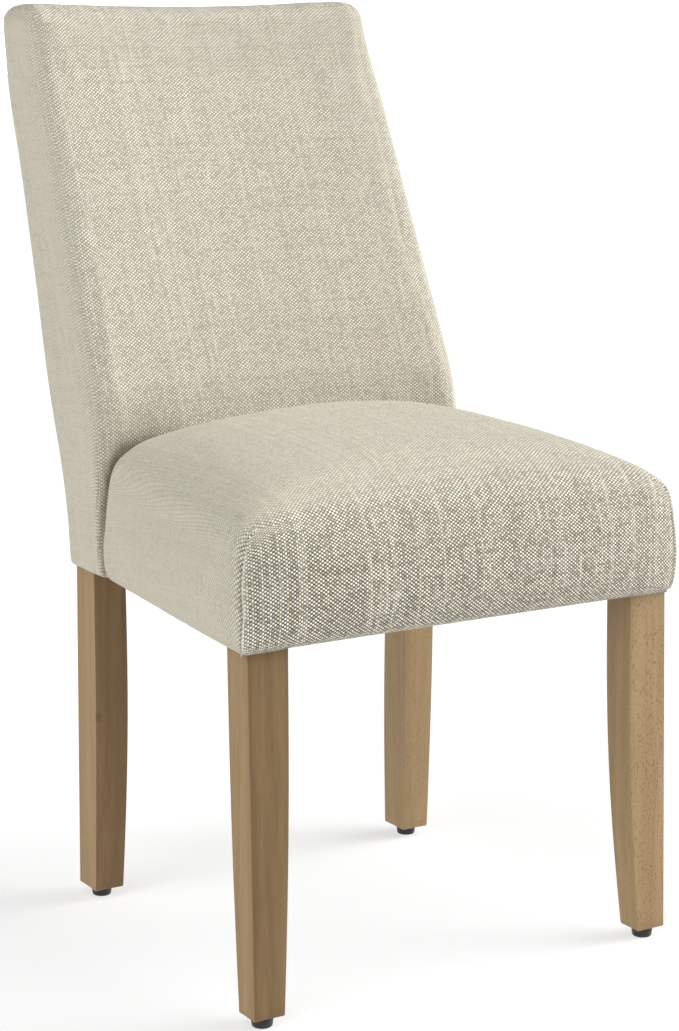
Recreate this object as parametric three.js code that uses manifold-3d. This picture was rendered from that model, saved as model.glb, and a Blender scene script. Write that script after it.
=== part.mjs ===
// Upholstered dining side chair with a leaning padded back, a domed seat and four tapered wooden legs.
// Millimetres. X runs across the chair, the sitter faces -Y, and Z is up from the floor.
// The origin is on the floor, under the middle of the chair's bounding box.

import * as THREE from "three";
import { mergeVertices } from "three/addons/utils/BufferGeometryUtils.js";
import Module from "manifold-3d";

const wasm = await Module();
wasm.setup();

// Overall sizes
const overallDepth = 578;
const overallHeight = 898.5;
const clearHeight = 344.5;
const seatFrontWidth = 495;
const seatRearWidth = 423;
const seatDepth = 340;
const backWidth = 428;
const backThickness = 99;
const backBaseThickness = 75;

// Clearances and sheet thicknesses
const gap = 0.3;
const seamGap = 0.6;
const overrun = 5;
const fabricThickness = 1.5;
const dustSheetThickness = 0.9;

// Seat padding
const seatRearShoulder = 142;
const seatFrontShoulder = 124;
const seatCrown = 30;
const seatSideRoll = 122;
const seatFrontRoll = 50;
const seatRearRoll = 68;
const seatEdgeDrop = 80;
const seatSideBulge = 8;
const seatFrontBulge = 4;
const seatRollPower = 4.4;
const seatShoulderPower = 7;
const seatCornerPower = 14;
const seatCornerFade = 2;
const crownSidePower = 2;
const crownUpPower = 3;
const crownEndPower = 4;

// Back padding
const backFrontRoll = 31;
const backFrontRollDepth = 34;
const backBaseRoll = 5;
const backRearRoll = 12;
const backTopRoll = 18;
const backBottomRoll = 5;
const backHollow = 15;
const backRearBow = 5;
const backTopDip = 5.5;
const backRollPower = 2.3;
const hollowSidePower = 2;
const topDipPower = 6;
const coverReturn = 26;

// The back's side outline from its bottom edge up, as shares of the lean, the thickness and the width
const backRearLeanShares = [0, 0.005, 0.05, 0.155, 0.285, 0.405, 0.525, 0.65, 0.775, 0.895, 1];
const backThicknessShares = [0, 0.005, 0.4, 0.92, 1, 0.86, 0.7, 0.58, 0.42, 0.24, 0.16];
const backWidthShares = [0.969, 0.981, 0.996, 1, 0.989, 0.976, 0.965, 0.953, 0.946, 0.938, 0.926];
const backRollGrowthShares = [0, 0.02, 0.35, 0.9, 1, 1, 1, 1, 1, 1, 1];
const hollowStartShare = 0.12;
const hollowFullShare = 0.37;

// How finely the soft forms and the bent legs are divided
const seatSideRollCells = 4;
const seatMiddleCells = 7;
const seatFrontRollCells = 3;
const seatDepthCells = 5;
const seatRearRollCells = 3;
const seatRingCount = 3;
const seatWallCount = 3;
const backSideRollCells = 3;
const backMiddleCells = 5;
const backBottomRollCells = 1;
const backHeightCells = 10;
const backTopRollCells = 2;
const frontRollRings = 3;
const rearRollRings = 2;
const rearPanelAcrossCells = 6;
const rearPanelUpwardCells = 12;
const legSteps = 5;
const jointSteps = 2;
const bendSteps = 4;
const spineSteps = 9;

// Front legs
const frontLegWidth = 41;
const frontLegDepth = 37;
const frontFootWidth = 31.8;
const frontFootDepth = 28;
const frontFootReach = 10;
const frontFootSpread = 1.4;
const frontLegSideInset = 18.4;
const frontLegFrontInset = 13;

// Rear legs, each in one piece with its back post
const rearLegWidth = 35;
const rearLegDepth = 39;
const rearFootWidth = 31.5;
const rearFootDepth = 37;
const rearFootReach = 8;
const rearLegSideInset = 5.5;
const postTopWidth = 28;
const postDepth = 42;
const postTopDepth = 30;
const postTopInset = 14;
const postHeadroom = 22;
const jointPad = 2.5;
const jointShoulder = 4;
const legEdge = 1.3;
const legBelly = 2.6;

// Glides and their nails
const glideHeight = 10.5;
const glideTopRadius = 10.6;
const glideFootRadius = 9.6;
const glideEdge = 1.2;
const glideRecessRadius = 4.2;
const glideRecessDepth = 3;
const nailRadius = 1.4;
const nailHeadRadius = 3.4;
const nailHeadThickness = 1;
const nailLength = 22;

// Seat frame
const railHeight = 70;
const railThickness = 22;
const frameLift = 1.6;
const frameRearPad = 5;
const frameRearBevel = 16;
const deckThickness = 12;
const deckInset = 3;
const blockArm = 38;
const rearBlockArm = 46;
const blockHeight = 50;
const dustSheetInset = 9;

// Back frame
const backRailThickness = 22;
const topRailHeight = 48;
const lumbarRailHeight = 42;
const lumbarRailLift = 128;
const jointRailHeight = 58;
const jointRailThickness = 30;
const backPanelThickness = 5;
const backPanelLift = 60;
const backPanelSideInset = 4;
const rearBoardThickness = 3;
const rearBoardSideInset = 3.6;
const rearBoardLift = 14;

// Screws, bolts, washers and nuts
const screwRadius = 2;
const screwHeadRadius = 4;
const screwHeadThickness = 2.4;
const blockScrewGrip = 16;
const driverReach = 40;
const deckScrewLength = 30;
const hangerRadius = 3;
const hangerProtrusion = 4;
const hangerLegGrip = 26;
const nutRadius = 6;
const nutThickness = 5;
const washerRadius = 8.5;
const washerThickness = 1.4;
const seatBoltRadius = 3;
const seatBoltGrip = 20;
const seatBoltHeadRadius = 5;
const seatBoltHeadThickness = 4.5;
const seatBoltSpread = 100;
const seatBoltPitch = 26;
const deckScrewSpread = 130;
const drillClearance = 0.35;
const fastenerSides = 8;
const glideSides = 16;
const nutSides = 6;

// Worked out from the sizes above
const seatFrontY = -overallDepth / 2;
const seatRearY = seatFrontY + seatDepth;
const backFrontY = seatRearY + gap;
const backBottomZ = clearHeight + gap;
const backHeight = overallHeight - backBottomZ;
const backBaseRearY = backFrontY + backBaseThickness;
const backLean = overallDepth / 2 - backBaseRearY;
const railBottomZ = clearHeight + frameLift;
const railTopZ = railBottomZ + railHeight;
const deckBottomZ = railTopZ + gap;
const deckTopZ = deckBottomZ + deckThickness;
const coverInset = fabricThickness + gap;

// Colours
const fabricColour = 0xcfc4a9;
const legColour = 0xa08a6a;
const beechColour = 0xc9a97c;
const plyColour = 0xc6ac82;
const foamColour = 0xe6dfb8;
const waddingColour = 0xeeeeea;
const dustColour = 0x1d1d1f;
const glideColour = 0x161616;
const steelColour = 0xa9abae;
const hardboardColour = 0x7d5f43;

function material(color, roughness, metalness = 0) {
  return new THREE.MeshStandardMaterial({ color, roughness, metalness });
}

const mix = THREE.MathUtils.lerp;
const clamp = THREE.MathUtils.clamp;

const chair = new THREE.Group();
const seatUnit = new THREE.Group();
const backUnit = new THREE.Group();
const legSet = new THREE.Group();
chair.add(legSet, seatUnit, backUnit);

function addPiece(parent, name, geometry, color, roughness, metalness = 0) {
  const mesh = new THREE.Mesh(geometry, material(color, roughness, metalness));
  mesh.name = name;
  parent.add(mesh);
  return mesh;
}

// Solids that are joined or cut
function solidOf(geometry) {
  const bare = geometry.clone();
  bare.deleteAttribute("normal");
  bare.deleteAttribute("uv");
  const merged = mergeVertices(bare);
  const mesh = new wasm.Mesh({
    numProp: 3,
    vertProperties: new Float32Array(merged.attributes.position.array),
    triVerts: new Uint32Array(merged.index.array),
  });
  return new wasm.Manifold(mesh);
}

function geometryOf(solid) {
  const mesh = solid.getMesh();
  const geometry = new THREE.BufferGeometry();
  geometry.setAttribute("position", new THREE.BufferAttribute(new Float32Array(mesh.vertProperties), 3));
  geometry.setIndex(new THREE.BufferAttribute(new Uint32Array(mesh.triVerts), 1));
  geometry.computeVertexNormals();
  return geometry;
}

function cutFrom(geometry, cutters) {
  let solid = solidOf(geometry);
  for (const cutter of cutters) {
    solid = solid.subtract(solidOf(cutter));
  }
  return geometryOf(solid);
}

function keepInside(geometry, keeper) {
  return geometryOf(solidOf(geometry).intersect(solidOf(keeper)));
}

function meshOf(points, triangles) {
  const geometry = new THREE.BufferGeometry();
  const flat = points.flatMap((p) => [p.x, p.y, p.z]);
  geometry.setAttribute("position", new THREE.BufferAttribute(new Float32Array(flat), 3));
  geometry.setIndex(triangles.flat());
  geometry.computeVertexNormals();
  return geometry;
}

function boxBetween(x0, x1, y0, y1, z0, z1) {
  const box = new THREE.BoxGeometry(x1 - x0, y1 - y0, z1 - z0);
  return box.translate((x0 + x1) / 2, (y0 + y1) / 2, (z0 + z1) / 2);
}

// A bar lofted through level rectangles with bevelled corners
function loft(levels, edge) {
  const rings = levels.map(({ z, x0, x1, y0, y1 }) => {
    const ring = edge > 0
      ? [[x0 + edge, y0], [x1 - edge, y0], [x1, y0 + edge], [x1, y1 - edge],
        [x1 - edge, y1], [x0 + edge, y1], [x0, y1 - edge], [x0, y0 + edge]]
      : [[x0, y0], [x1, y0], [x1, y1], [x0, y1]];
    return ring.map(([x, y]) => new THREE.Vector3(x, y, z));
  });
  const points = rings.flat();
  const triangles = [];
  const corners = rings[0].length;
  const top = (levels.length - 1) * corners;
  for (let k = 1; k < corners - 1; k += 1) {
    triangles.push([0, k + 1, k], [top, top + k, top + k + 1]);
  }
  for (let level = 0; level < levels.length - 1; level += 1) {
    for (let k = 0; k < corners; k += 1) {
      const a = level * corners + k;
      const b = level * corners + ((k + 1) % corners);
      triangles.push([a, b, b + corners], [a, b + corners, a + corners]);
    }
  }
  return meshOf(points, triangles);
}

// A plate with an outline in plan
function plate(outline, z0, z1) {
  const shape = new THREE.Shape(outline.map(([x, y]) => new THREE.Vector2(x, y)));
  const geometry = new THREE.ExtrudeGeometry(shape, { depth: z1 - z0, bevelEnabled: false });
  return geometry.translate(0, 0, z0);
}

function mirrored(outline) {
  return outline.map(([x, y]) => [-x, y]);
}

// Turned pieces: the profile is radius and height, from the low end on the axis to the high end
function turned(profile, sides) {
  return new THREE.LatheGeometry(profile.map(([r, h]) => new THREE.Vector2(r, h)), sides);
}

const axisUp = new THREE.Vector3(0, 1, 0);

function stand(object, at, direction) {
  object.quaternion.setFromUnitVectors(axisUp, direction.clone().normalize());
  object.position.copy(at);
  return object;
}

function placedGeometry(geometry, at, direction) {
  const holder = stand(new THREE.Object3D(), at, direction);
  holder.updateMatrix();
  return geometry.clone().applyMatrix4(holder.matrix);
}

function drill(radius, at, direction, length) {
  const bit = new THREE.CylinderGeometry(radius, radius, length, fastenerSides);
  return placedGeometry(bit.translate(0, length / 2, 0), at, direction);
}

// Spacing of grid lines along a face whose two ends roll over: even in the middle, by angle on the rolls
function rollStations(startRoll, endRoll, startCells, midCells, endCells) {
  const stations = [];
  for (let k = startCells; k > 0; k -= 1) {
    stations.push(startRoll * (1 - Math.tan((Math.PI / 4) * (k / startCells))));
  }
  for (let k = 0; k <= midCells; k += 1) {
    stations.push(startRoll + (1 - startRoll - endRoll) * (k / midCells));
  }
  for (let k = 1; k <= endCells; k += 1) {
    stations.push(1 - endRoll * (1 - Math.tan((Math.PI / 4) * (k / endCells))));
  }
  return stations;
}

// A point of a box surface drawn in to rolled edges, from the box's inner core outwards
function rolled(point, low, high, rollLow, rollHigh, power) {
  const core = new THREE.Vector3();
  const offset = new THREE.Vector3();
  const reach = new THREE.Vector3();
  for (const axis of ["x", "y", "z"]) {
    const inner = clamp(point[axis], low[axis] + rollLow[axis], high[axis] - rollHigh[axis]);
    const radius = point[axis] < inner ? rollLow[axis] : rollHigh[axis];
    core[axis] = inner;
    reach[axis] = radius;
    offset[axis] = radius > 0 ? (point[axis] - inner) / radius : 0;
  }
  const sum = ["x", "y", "z"].reduce((total, axis) => total + Math.abs(offset[axis]) ** power, 0);
  const size = sum > 0 ? sum ** (1 / power) : 1;
  return core.add(offset.divideScalar(size).multiply(reach));
}

// A cup-shaped skin: a cap grid whose border runs on as rings. The caller gives the point for a place on
// the cap (across, along, 0) and on the rings (across, along, ring).
function cupSurface(across, along, rings, pointAt) {
  const points = [];
  const triangles = [];
  const columns = across.length;
  const rows = along.length;
  const index = (i, j) => j * columns + i;
  for (const v of along) {
    for (const u of across) {
      points.push(pointAt(u, v, 0));
    }
  }
  for (let j = 0; j < rows - 1; j += 1) {
    for (let i = 0; i < columns - 1; i += 1) {
      triangles.push([index(i, j), index(i + 1, j), index(i + 1, j + 1)]);
      triangles.push([index(i, j), index(i + 1, j + 1), index(i, j + 1)]);
    }
  }
  const border = [];
  for (let i = 0; i < columns - 1; i += 1) border.push([i, 0]);
  for (let j = 0; j < rows - 1; j += 1) border.push([columns - 1, j]);
  for (let i = columns - 1; i > 0; i -= 1) border.push([i, rows - 1]);
  for (let j = rows - 1; j > 0; j -= 1) border.push([0, j]);
  let previous = border.map(([i, j]) => index(i, j));
  for (const ring of rings) {
    const current = border.map(([i, j]) => {
      points.push(pointAt(across[i], along[j], ring));
      return points.length - 1;
    });
    for (let k = 0; k < border.length; k += 1) {
      const next = (k + 1) % border.length;
      triangles.push([previous[k], current[k], current[next]]);
      triangles.push([previous[k], current[next], previous[next]]);
    }
    previous = current;
  }
  return { points, triangles, rim: previous };
}

function flipped(triangles) {
  return triangles.map(([a, b, c]) => [a, c, b]);
}

// A skin of even thickness between an outer and an inner cup
function skin(outer, inner) {
  const shift = outer.points.length;
  const points = [...outer.points, ...inner.points];
  const triangles = [...outer.triangles];
  flipped(inner.triangles).forEach((t) => triangles.push(t.map((n) => n + shift)));
  for (let k = 0; k < outer.rim.length; k += 1) {
    const next = (k + 1) % outer.rim.length;
    const a = outer.rim[k];
    const b = outer.rim[next];
    const c = inner.rim[next] + shift;
    const d = inner.rim[k] + shift;
    triangles.push([a, d, c], [a, c, b]);
  }
  return meshOf(points, triangles);
}

// A full body: a cup closed by a flat fan over its rim
function filled(cup) {
  const points = [...cup.points];
  const triangles = [...cup.triangles];
  const middle = new THREE.Vector3();
  cup.rim.forEach((n) => middle.add(points[n]));
  points.push(middle.divideScalar(cup.rim.length));
  const hub = points.length - 1;
  for (let k = 0; k < cup.rim.length; k += 1) {
    triangles.push([cup.rim[k], hub, cup.rim[(k + 1) % cup.rim.length]]);
  }
  return meshOf(points, triangles);
}

// Seat padding outline: a point for shares across, front to rear, and up, drawn in by an inset
const seatSideRollShare = seatSideRoll / seatFrontWidth;
const seatAcross = rollStations(seatSideRollShare, seatSideRollShare, seatSideRollCells, seatMiddleCells,
  seatSideRollCells);
const seatAlong = rollStations(seatFrontRoll / seatDepth, seatRearRoll / seatDepth, seatFrontRollCells,
  seatDepthCells, seatRearRollCells);

function seatHeightAt(frontToRear) {
  return mix(seatFrontShoulder, seatRearShoulder, frontToRear);
}

function seatPoint(across, frontToRear, ring, inset) {
  const halfWidth = mix(seatFrontWidth, seatRearWidth, frontToRear) / 2 - seatSideBulge - inset;
  const height = seatHeightAt(frontToRear) - inset;
  const dropped = ring <= seatRingCount
    ? seatEdgeDrop * (1 - Math.tan((Math.PI / 4) * (1 - ring / seatRingCount)))
    : mix(seatEdgeDrop, height, (ring - seatRingCount) / seatWallCount);
  const low = new THREE.Vector3(-halfWidth, seatFrontY + seatFrontBulge + inset, 0);
  const high = new THREE.Vector3(halfWidth, seatRearY - inset, height);
  const boxX = mix(low.x, high.x, across);
  const boxY = mix(low.y, high.y, frontToRear);
  const box = new THREE.Vector3(boxX, boxY, height - dropped);
  const rollLow = new THREE.Vector3(seatSideRoll - inset, seatFrontRoll - inset, 0);
  const rollHigh = new THREE.Vector3(seatSideRoll - inset, seatRearRoll - inset, seatEdgeDrop - inset);
  const wallShare = Math.min(box.z / (height - seatEdgeDrop), 1);
  const rollShare = Math.max((box.z - height + seatEdgeDrop) / seatEdgeDrop, 0);
  const wallPower = mix(seatShoulderPower, seatCornerPower, (1 - wallShare) ** seatCornerFade);
  const power = mix(wallPower, seatRollPower, rollShare);
  const p = rolled(box, low, high, rollLow, rollHigh, power);
  const upShare = Math.min(p.z / height, 1);
  const sideShare = Math.min(Math.abs(p.x) / halfWidth, 1);
  const endShare = Math.abs((2 * (p.y - low.y)) / (high.y - low.y) - 1);
  const crownShare = (1 - sideShare ** crownSidePower) * (1 - endShare ** crownEndPower);
  p.z += seatCrown * crownShare * upShare ** crownUpPower;
  const rearShare = (p.y - low.y) / (high.y - low.y);
  const swell = Math.sin(Math.PI * upShare);
  p.x += Math.sign(p.x) * sideShare * seatSideBulge * swell;
  p.y -= (1 - rearShare) * seatFrontBulge * swell;
  p.z += clearHeight;
  return p;
}

function seatCup(inset) {
  const rings = [];
  for (let k = 1; k <= seatRingCount + seatWallCount; k += 1) rings.push(k);
  return cupSurface(seatAcross, seatAlong, rings, (u, v, ring) => seatPoint(u, v, ring, inset));
}

// Back padding outline: shares across, up, and front to rear
function alongBack(shares, up) {
  const places = shares.map((_, k) => k / (shares.length - 1));
  const curve = new THREE.CubicInterpolant(places, shares, 1);
  return curve.evaluate(clamp(up, 0, 1))[0];
}

function backRearAt(up) {
  return backBaseRearY + backLean * alongBack(backRearLeanShares, up);
}

function backThicknessAt(up) {
  return mix(backBaseThickness, backThickness, alongBack(backThicknessShares, up));
}

function backFrontAt(up) {
  return backRearAt(up) - backThicknessAt(up);
}

function backHalfWidthAt(up) {
  return (backWidth / 2) * alongBack(backWidthShares, up);
}

const backSideRollShare = backFrontRoll / backWidth;
const backAcross = rollStations(backSideRollShare, backSideRollShare, backSideRollCells, backMiddleCells,
  backSideRollCells);
const backUpward = rollStations(backBottomRoll / backHeight, backTopRoll / backHeight, backBottomRollCells,
  backHeightCells, backTopRollCells);
const sideRing = frontRollRings + 1;
const edgeRing = sideRing + rearRollRings;
const returnRing = edgeRing + 1;
const lastRing = returnRing + 1;
const backRings = [];
for (let k = 1; k <= lastRing; k += 1) backRings.push(k);
const rearPanelAcross = rollStations(0, 0, 0, rearPanelAcrossCells, 0);
const rearPanelDownward = rollStations(0, 0, 0, rearPanelUpwardCells, 0).reverse();

// A place on the back's box surface: across and up as shares, the depth behind the front face, and how far
// in from the border it lies
function backSurface(across, up, depthAt, inward, inset) {
  const height = backHeight - 2 * inset;
  const boxUp = mix(inward, height - inward, up);
  const upHere = boxUp / height;
  const thickness = backThicknessAt(upHere) - 2 * inset;
  const halfWidth = backHalfWidthAt(upHere) - inset;
  const growth = alongBack(backRollGrowthShares, upHere);
  const rollX = mix(backBaseRoll, backFrontRoll, growth) - inset;
  const rollY = mix(backBaseRoll, backFrontRollDepth, growth) - inset;
  const rearRoll = backRearRoll - inset;
  const depth = depthAt(thickness, rollY, rearRoll);
  const sideRoll = depth > thickness / 2 ? rearRoll : rollX;
  const low = new THREE.Vector3(-halfWidth, 0, 0);
  const high = new THREE.Vector3(halfWidth, thickness, height);
  const box = new THREE.Vector3(mix(inward - halfWidth, halfWidth - inward, across), depth, boxUp);
  const rollLow = new THREE.Vector3(sideRoll, rollY, backBottomRoll - inset);
  const rollHigh = new THREE.Vector3(sideRoll, rearRoll, backTopRoll - inset);
  const p = rolled(box, low, high, rollLow, rollHigh, backRollPower);
  const upShare = (p.z + inset) / backHeight;
  const sideShare = Math.min(Math.abs(p.x) / halfWidth, 1);
  const middleShare = 1 - sideShare ** hollowSidePower;
  const settle = THREE.MathUtils.smoothstep(upShare, hollowStartShare, hollowFullShare);
  const hollow = mix(backHollow, backRearBow, p.y / thickness) * middleShare * settle;
  p.y += backFrontAt(upShare) + inset + hollow;
  p.z += backBottomZ + inset - backTopDip * middleShare * upShare ** topDipPower;
  return p;
}

function byAngle(k, count) {
  return 1 - Math.tan((Math.PI / 4) * (1 - k / count));
}

function backPoint(across, up, ring, inset) {
  if (ring <= frontRollRings) {
    return backSurface(across, up, (thickness, rollY) => rollY * byAngle(ring, frontRollRings), 0, inset);
  }
  if (ring <= edgeRing) {
    const left = edgeRing - ring;
    const place = (thickness, rollY, rearRoll) => thickness - rearRoll * byAngle(left, rearRollRings);
    return backSurface(across, up, place, 0, inset);
  }
  const inward = ring === returnRing ? backRearRoll : coverReturn;
  return backSurface(across, up, (thickness) => thickness, inward - inset, inset);
}

function backCup(inset) {
  return cupSurface(backAcross, backUpward, backRings, (u, v, ring) => backPoint(u, v, ring, inset));
}

function outsideBackSheet(inset) {
  const inward = coverReturn + seamGap - inset;
  const pointAt = (u, v) => backSurface(u, v, (thickness) => thickness, inward, inset);
  return cupSurface(rearPanelAcross, rearPanelDownward, [], pointAt);
}

// Places shared by the frame and what is cut for it
const legOuterX = seatFrontWidth / 2 - frontLegSideInset;
const legInnerX = legOuterX - frontLegWidth;
const frameFrontY = seatFrontY + frontLegFrontInset;
const legBackY = frameFrontY + frontLegDepth;
const frameRearY = seatRearY - coverInset - gap - frameRearPad;
const seatTaper = (seatFrontWidth - seatRearWidth) / 2 / seatDepth;

function railOuterAt(y) {
  return legOuterX - (y - legBackY) * seatTaper;
}

function railInnerAt(y) {
  return railOuterAt(y) - railThickness;
}

const frontRailInnerY = frameFrontY + railThickness;
const rearRailFrontY = frameRearY - railThickness;
const railMiddleZ = railBottomZ + railHeight / 2;

const bevelY = frameRearY - frameRearBevel;
const bevelX = railOuterAt(frameRearY) - frameRearBevel;

function frameOutline(grow) {
  const rightHalf = [
    [legOuterX + grow, frameFrontY - grow],
    [legOuterX + grow, legBackY],
    [railOuterAt(bevelY) + grow, bevelY],
    [bevelX + grow, frameRearY + grow],
  ];
  return [...rightHalf, ...mirrored(rightHalf).reverse()];
}

// The back posts from foot to top: front, rear, inner and outer faces at each height
const postRearInset = coverInset + 2 * gap + rearBoardThickness + gap;
const postFootOuterX = backHalfWidthAt(0) - rearLegSideInset;
const postTopOuterX = backHalfWidthAt(1) - postTopInset;
const postTopZ = overallHeight - postHeadroom;
const jointFrontY = backFrontY + coverInset + gap + jointPad;
const panelBottomZ = railTopZ + backPanelLift;
const legShoulderZ = backBottomZ + coverInset + jointPad;

function shareUpBack(z) {
  return (z - backBottomZ) / backHeight;
}

function postLevel(z, front) {
  const share = Math.max((z - clearHeight) / (postTopZ - clearHeight), 0);
  const outer = mix(postFootOuterX, postTopOuterX, share);
  const rear = backRearAt(shareUpBack(z)) - postRearInset;
  const depth = mix(postDepth, postTopDepth, share);
  const inner = outer - mix(rearLegWidth, postTopWidth, share);
  return { z, front: front ?? rear - depth, rear, outer, inner };
}

const spine = [];
for (let k = 0; k <= jointSteps; k += 1) {
  spine.push(postLevel(mix(backBottomZ, railTopZ, k / jointSteps), jointFrontY));
}
const panelBottom = postLevel(panelBottomZ);
for (let k = 1; k < bendSteps; k += 1) {
  const front = mix(jointFrontY, panelBottom.front, k / bendSteps);
  spine.push(postLevel(mix(railTopZ, panelBottomZ, k / bendSteps), front));
}
for (let k = 0; k <= spineSteps; k += 1) {
  spine.push(postLevel(mix(panelBottomZ, postTopZ, k / spineSteps)));
}

function spineAt(z) {
  let k = 0;
  while (k < spine.length - 2 && spine[k + 1].z < z) k += 1;
  const share = (z - spine[k].z) / (spine[k + 1].z - spine[k].z);
  const level = { z };
  for (const key of ["front", "rear", "outer", "inner"]) {
    level[key] = mix(spine[k][key], spine[k + 1][key], share);
  }
  return level;
}

function spineBetween(z0, z1) {
  const inside = spine.filter((level) => level.z > z0 && level.z < z1);
  return [spineAt(z0), ...inside, spineAt(z1)];
}

// Front legs, with the upper block that the seat frame is bolted to
const hangerDirection = { left: new THREE.Vector3(-1, -1, 0), right: new THREE.Vector3(1, -1, 0) };
const blockArmY = legBackY + gap + blockArm;
const frontBlock = {
  corner: [legInnerX - gap, legBackY + gap],
  railEnd: [railInnerAt(blockArmY) - gap, blockArmY],
  frontY: frontRailInnerY + gap,
};
frontBlock.railStart = [frontBlock.railEnd[0] - (blockArmY - frontBlock.frontY), frontBlock.frontY];
const blockFaceReach = (frontBlock.corner[0] - frontBlock.corner[1]
  - (frontBlock.railStart[0] - frontBlock.railStart[1])) / Math.SQRT2;
const hangerTail = blockFaceReach + gap + washerThickness + gap + nutThickness + hangerProtrusion;
const hangerLength = hangerTail + hangerLegGrip;
const sides = { left: -1, right: 1 };

function hangerStart(side, back) {
  const sign = sides[side];
  const direction = hangerDirection[side].clone().normalize();
  const corner = new THREE.Vector3(sign * frontBlock.corner[0], frontBlock.corner[1], railMiddleZ);
  return corner.addScaledVector(direction, -back);
}

function holeRadius(radius, count) {
  return (radius + drillClearance) / Math.cos(Math.PI / count);
}

function boreFor(radius, at, direction, length) {
  const start = at.clone().addScaledVector(direction.clone().normalize(), -overrun);
  return drill(holeRadius(radius, fastenerSides), start, direction, length + overrun);
}

const upward = new THREE.Vector3(0, 0, 1);
const downward = new THREE.Vector3(0, 0, -1);
const rearward = new THREE.Vector3(0, 1, 0);
const forward = new THREE.Vector3(0, -1, 0);
const nailTopZ = glideRecessDepth - gap - nailHeadThickness + nailLength;

function acrossRange(sign, inner, outer) {
  return sign > 0 ? { x0: inner, x1: outer } : { x0: -outer, x1: -inner };
}

// Levels of a leg below the seat: a straight taper outside, with a slight belly on the two inner faces
function shinLevels(sign, foot, top, bellyFront, bellyRear) {
  const levels = [];
  for (let k = 0; k <= legSteps; k += 1) {
    const up = k / legSteps;
    const belly = legBelly * Math.sin(Math.PI * up);
    const inner = mix(foot.inner, top.inner, up) - belly;
    const across = acrossRange(sign, inner, mix(foot.outer, top.outer, up));
    const y0 = mix(foot.front, top.front, up) - belly * bellyFront;
    const y1 = mix(foot.rear, top.rear, up) + belly * bellyRear;
    levels.push({ z: mix(foot.z, top.z, up), ...across, y0, y1 });
  }
  return levels;
}

function footMiddle(sign, foot) {
  return new THREE.Vector3((sign * (foot.inner + foot.outer)) / 2, (foot.front + foot.rear) / 2, 0);
}

function addFrontLeg(side) {
  const sign = sides[side];
  const footOuterX = legOuterX + frontFootSpread;
  const footFrontY = frameFrontY - frontFootReach;
  const foot = {
    z: glideHeight,
    inner: footOuterX - frontFootWidth,
    outer: footOuterX,
    front: footFrontY,
    rear: footFrontY + frontFootDepth,
  };
  const top = { z: clearHeight, inner: legInnerX, outer: legOuterX, front: frameFrontY, rear: legBackY };
  const levels = shinLevels(sign, foot, top, 0, 1);
  levels.push({ ...levels[legSteps], z: railTopZ });
  const nailAt = footMiddle(sign, foot);
  const hanger = boreFor(hangerRadius, hangerStart(side, 0), hangerDirection[side], hangerLegGrip + gap);
  const nail = boreFor(nailRadius, nailAt.clone().setZ(glideHeight), upward, nailTopZ + gap - glideHeight);
  addPiece(legSet, `leg_front_${side}`, cutFrom(loft(levels, legEdge), [hanger, nail]), legColour, 0.6);
  addGlide(`front_${side}`, nailAt);
}

// Rear legs: the foot, the block beside the seat and the leaning back post are one piece of wood
function addRearLeg(side) {
  const sign = sides[side];
  const base = spine[0];
  const footRearY = base.rear + rearFootReach;
  const foot = {
    z: glideHeight,
    inner: postFootOuterX - rearFootWidth,
    outer: postFootOuterX,
    front: footRearY - rearFootDepth,
    rear: footRearY,
  };
  const shoulder = { ...base, z: backBottomZ, front: base.rear - rearLegDepth };
  const levels = shinLevels(sign, foot, shoulder, 1, 0);
  levels.push({ ...levels[legSteps], z: legShoulderZ });
  const upper = spineBetween(legShoulderZ + jointShoulder, postTopZ);
  for (const { z, inner, outer, front, rear } of upper) {
    levels.push({ z, ...acrossRange(sign, inner, outer), y0: front, y1: rear });
  }
  const nailAt = footMiddle(sign, foot);
  const nail = boreFor(nailRadius, nailAt.clone().setZ(glideHeight), upward, nailTopZ + gap - glideHeight);
  addPiece(legSet, `leg_rear_${side}`, cutFrom(loft(levels, legEdge), [nail]), legColour, 0.6);
  addGlide(`rear_${side}`, nailAt);
}

// Nail-on glides
function addGlide(place, at) {
  const top = glideHeight - gap;
  const bore = holeRadius(nailRadius, glideSides);
  const glideProfile = [
    [bore, glideRecessDepth], [glideRecessRadius, glideRecessDepth], [glideRecessRadius, 0],
    [glideFootRadius - glideEdge, 0], [glideFootRadius, glideEdge], [glideTopRadius, top],
    [bore, top], [bore, glideRecessDepth],
  ];
  const glide = addPiece(legSet, `glide_${place}`, turned(glideProfile, glideSides), glideColour, 0.45);
  stand(glide, at, upward);
  const nail = fastener(nailRadius, nailHeadRadius, nailHeadThickness, nailLength, nailRadius);
  const nailMesh = addPiece(legSet, `glide_nail_${place}`, nail, steelColour, 0.35, 0.9);
  stand(nailMesh, at.clone().setZ(glideRecessDepth - gap - nailHeadThickness), upward);
}

// A headed fastener along its own axis, from the outside of its head to its point
function fastener(radius, headRadius, headThickness, length, taper) {
  const profile = [
    [0, 0], [headRadius, 0], [headRadius, headThickness],
    [radius, headThickness], [radius, length - taper], [0, length],
  ];
  return turned(profile, fastenerSides);
}

function screwOf(length) {
  return fastener(screwRadius, screwHeadRadius, screwHeadThickness, length, screwRadius);
}

function washerFor(radius) {
  return ring(holeRadius(radius, fastenerSides), washerRadius, washerThickness, fastenerSides);
}

function addFastener(name, geometry, at, direction) {
  stand(addPiece(seatUnit, name, geometry, steelColour, 0.35, 0.9), at, direction);
}

function ring(innerRadius, outerRadius, thickness, count) {
  return turned([[innerRadius, 0], [outerRadius, 0], [outerRadius, thickness], [innerRadius, thickness],
    [innerRadius, 0]], count);
}

// Screws through the corner blocks: where each starts, which way it runs and how long it is
const screws = [];

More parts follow.
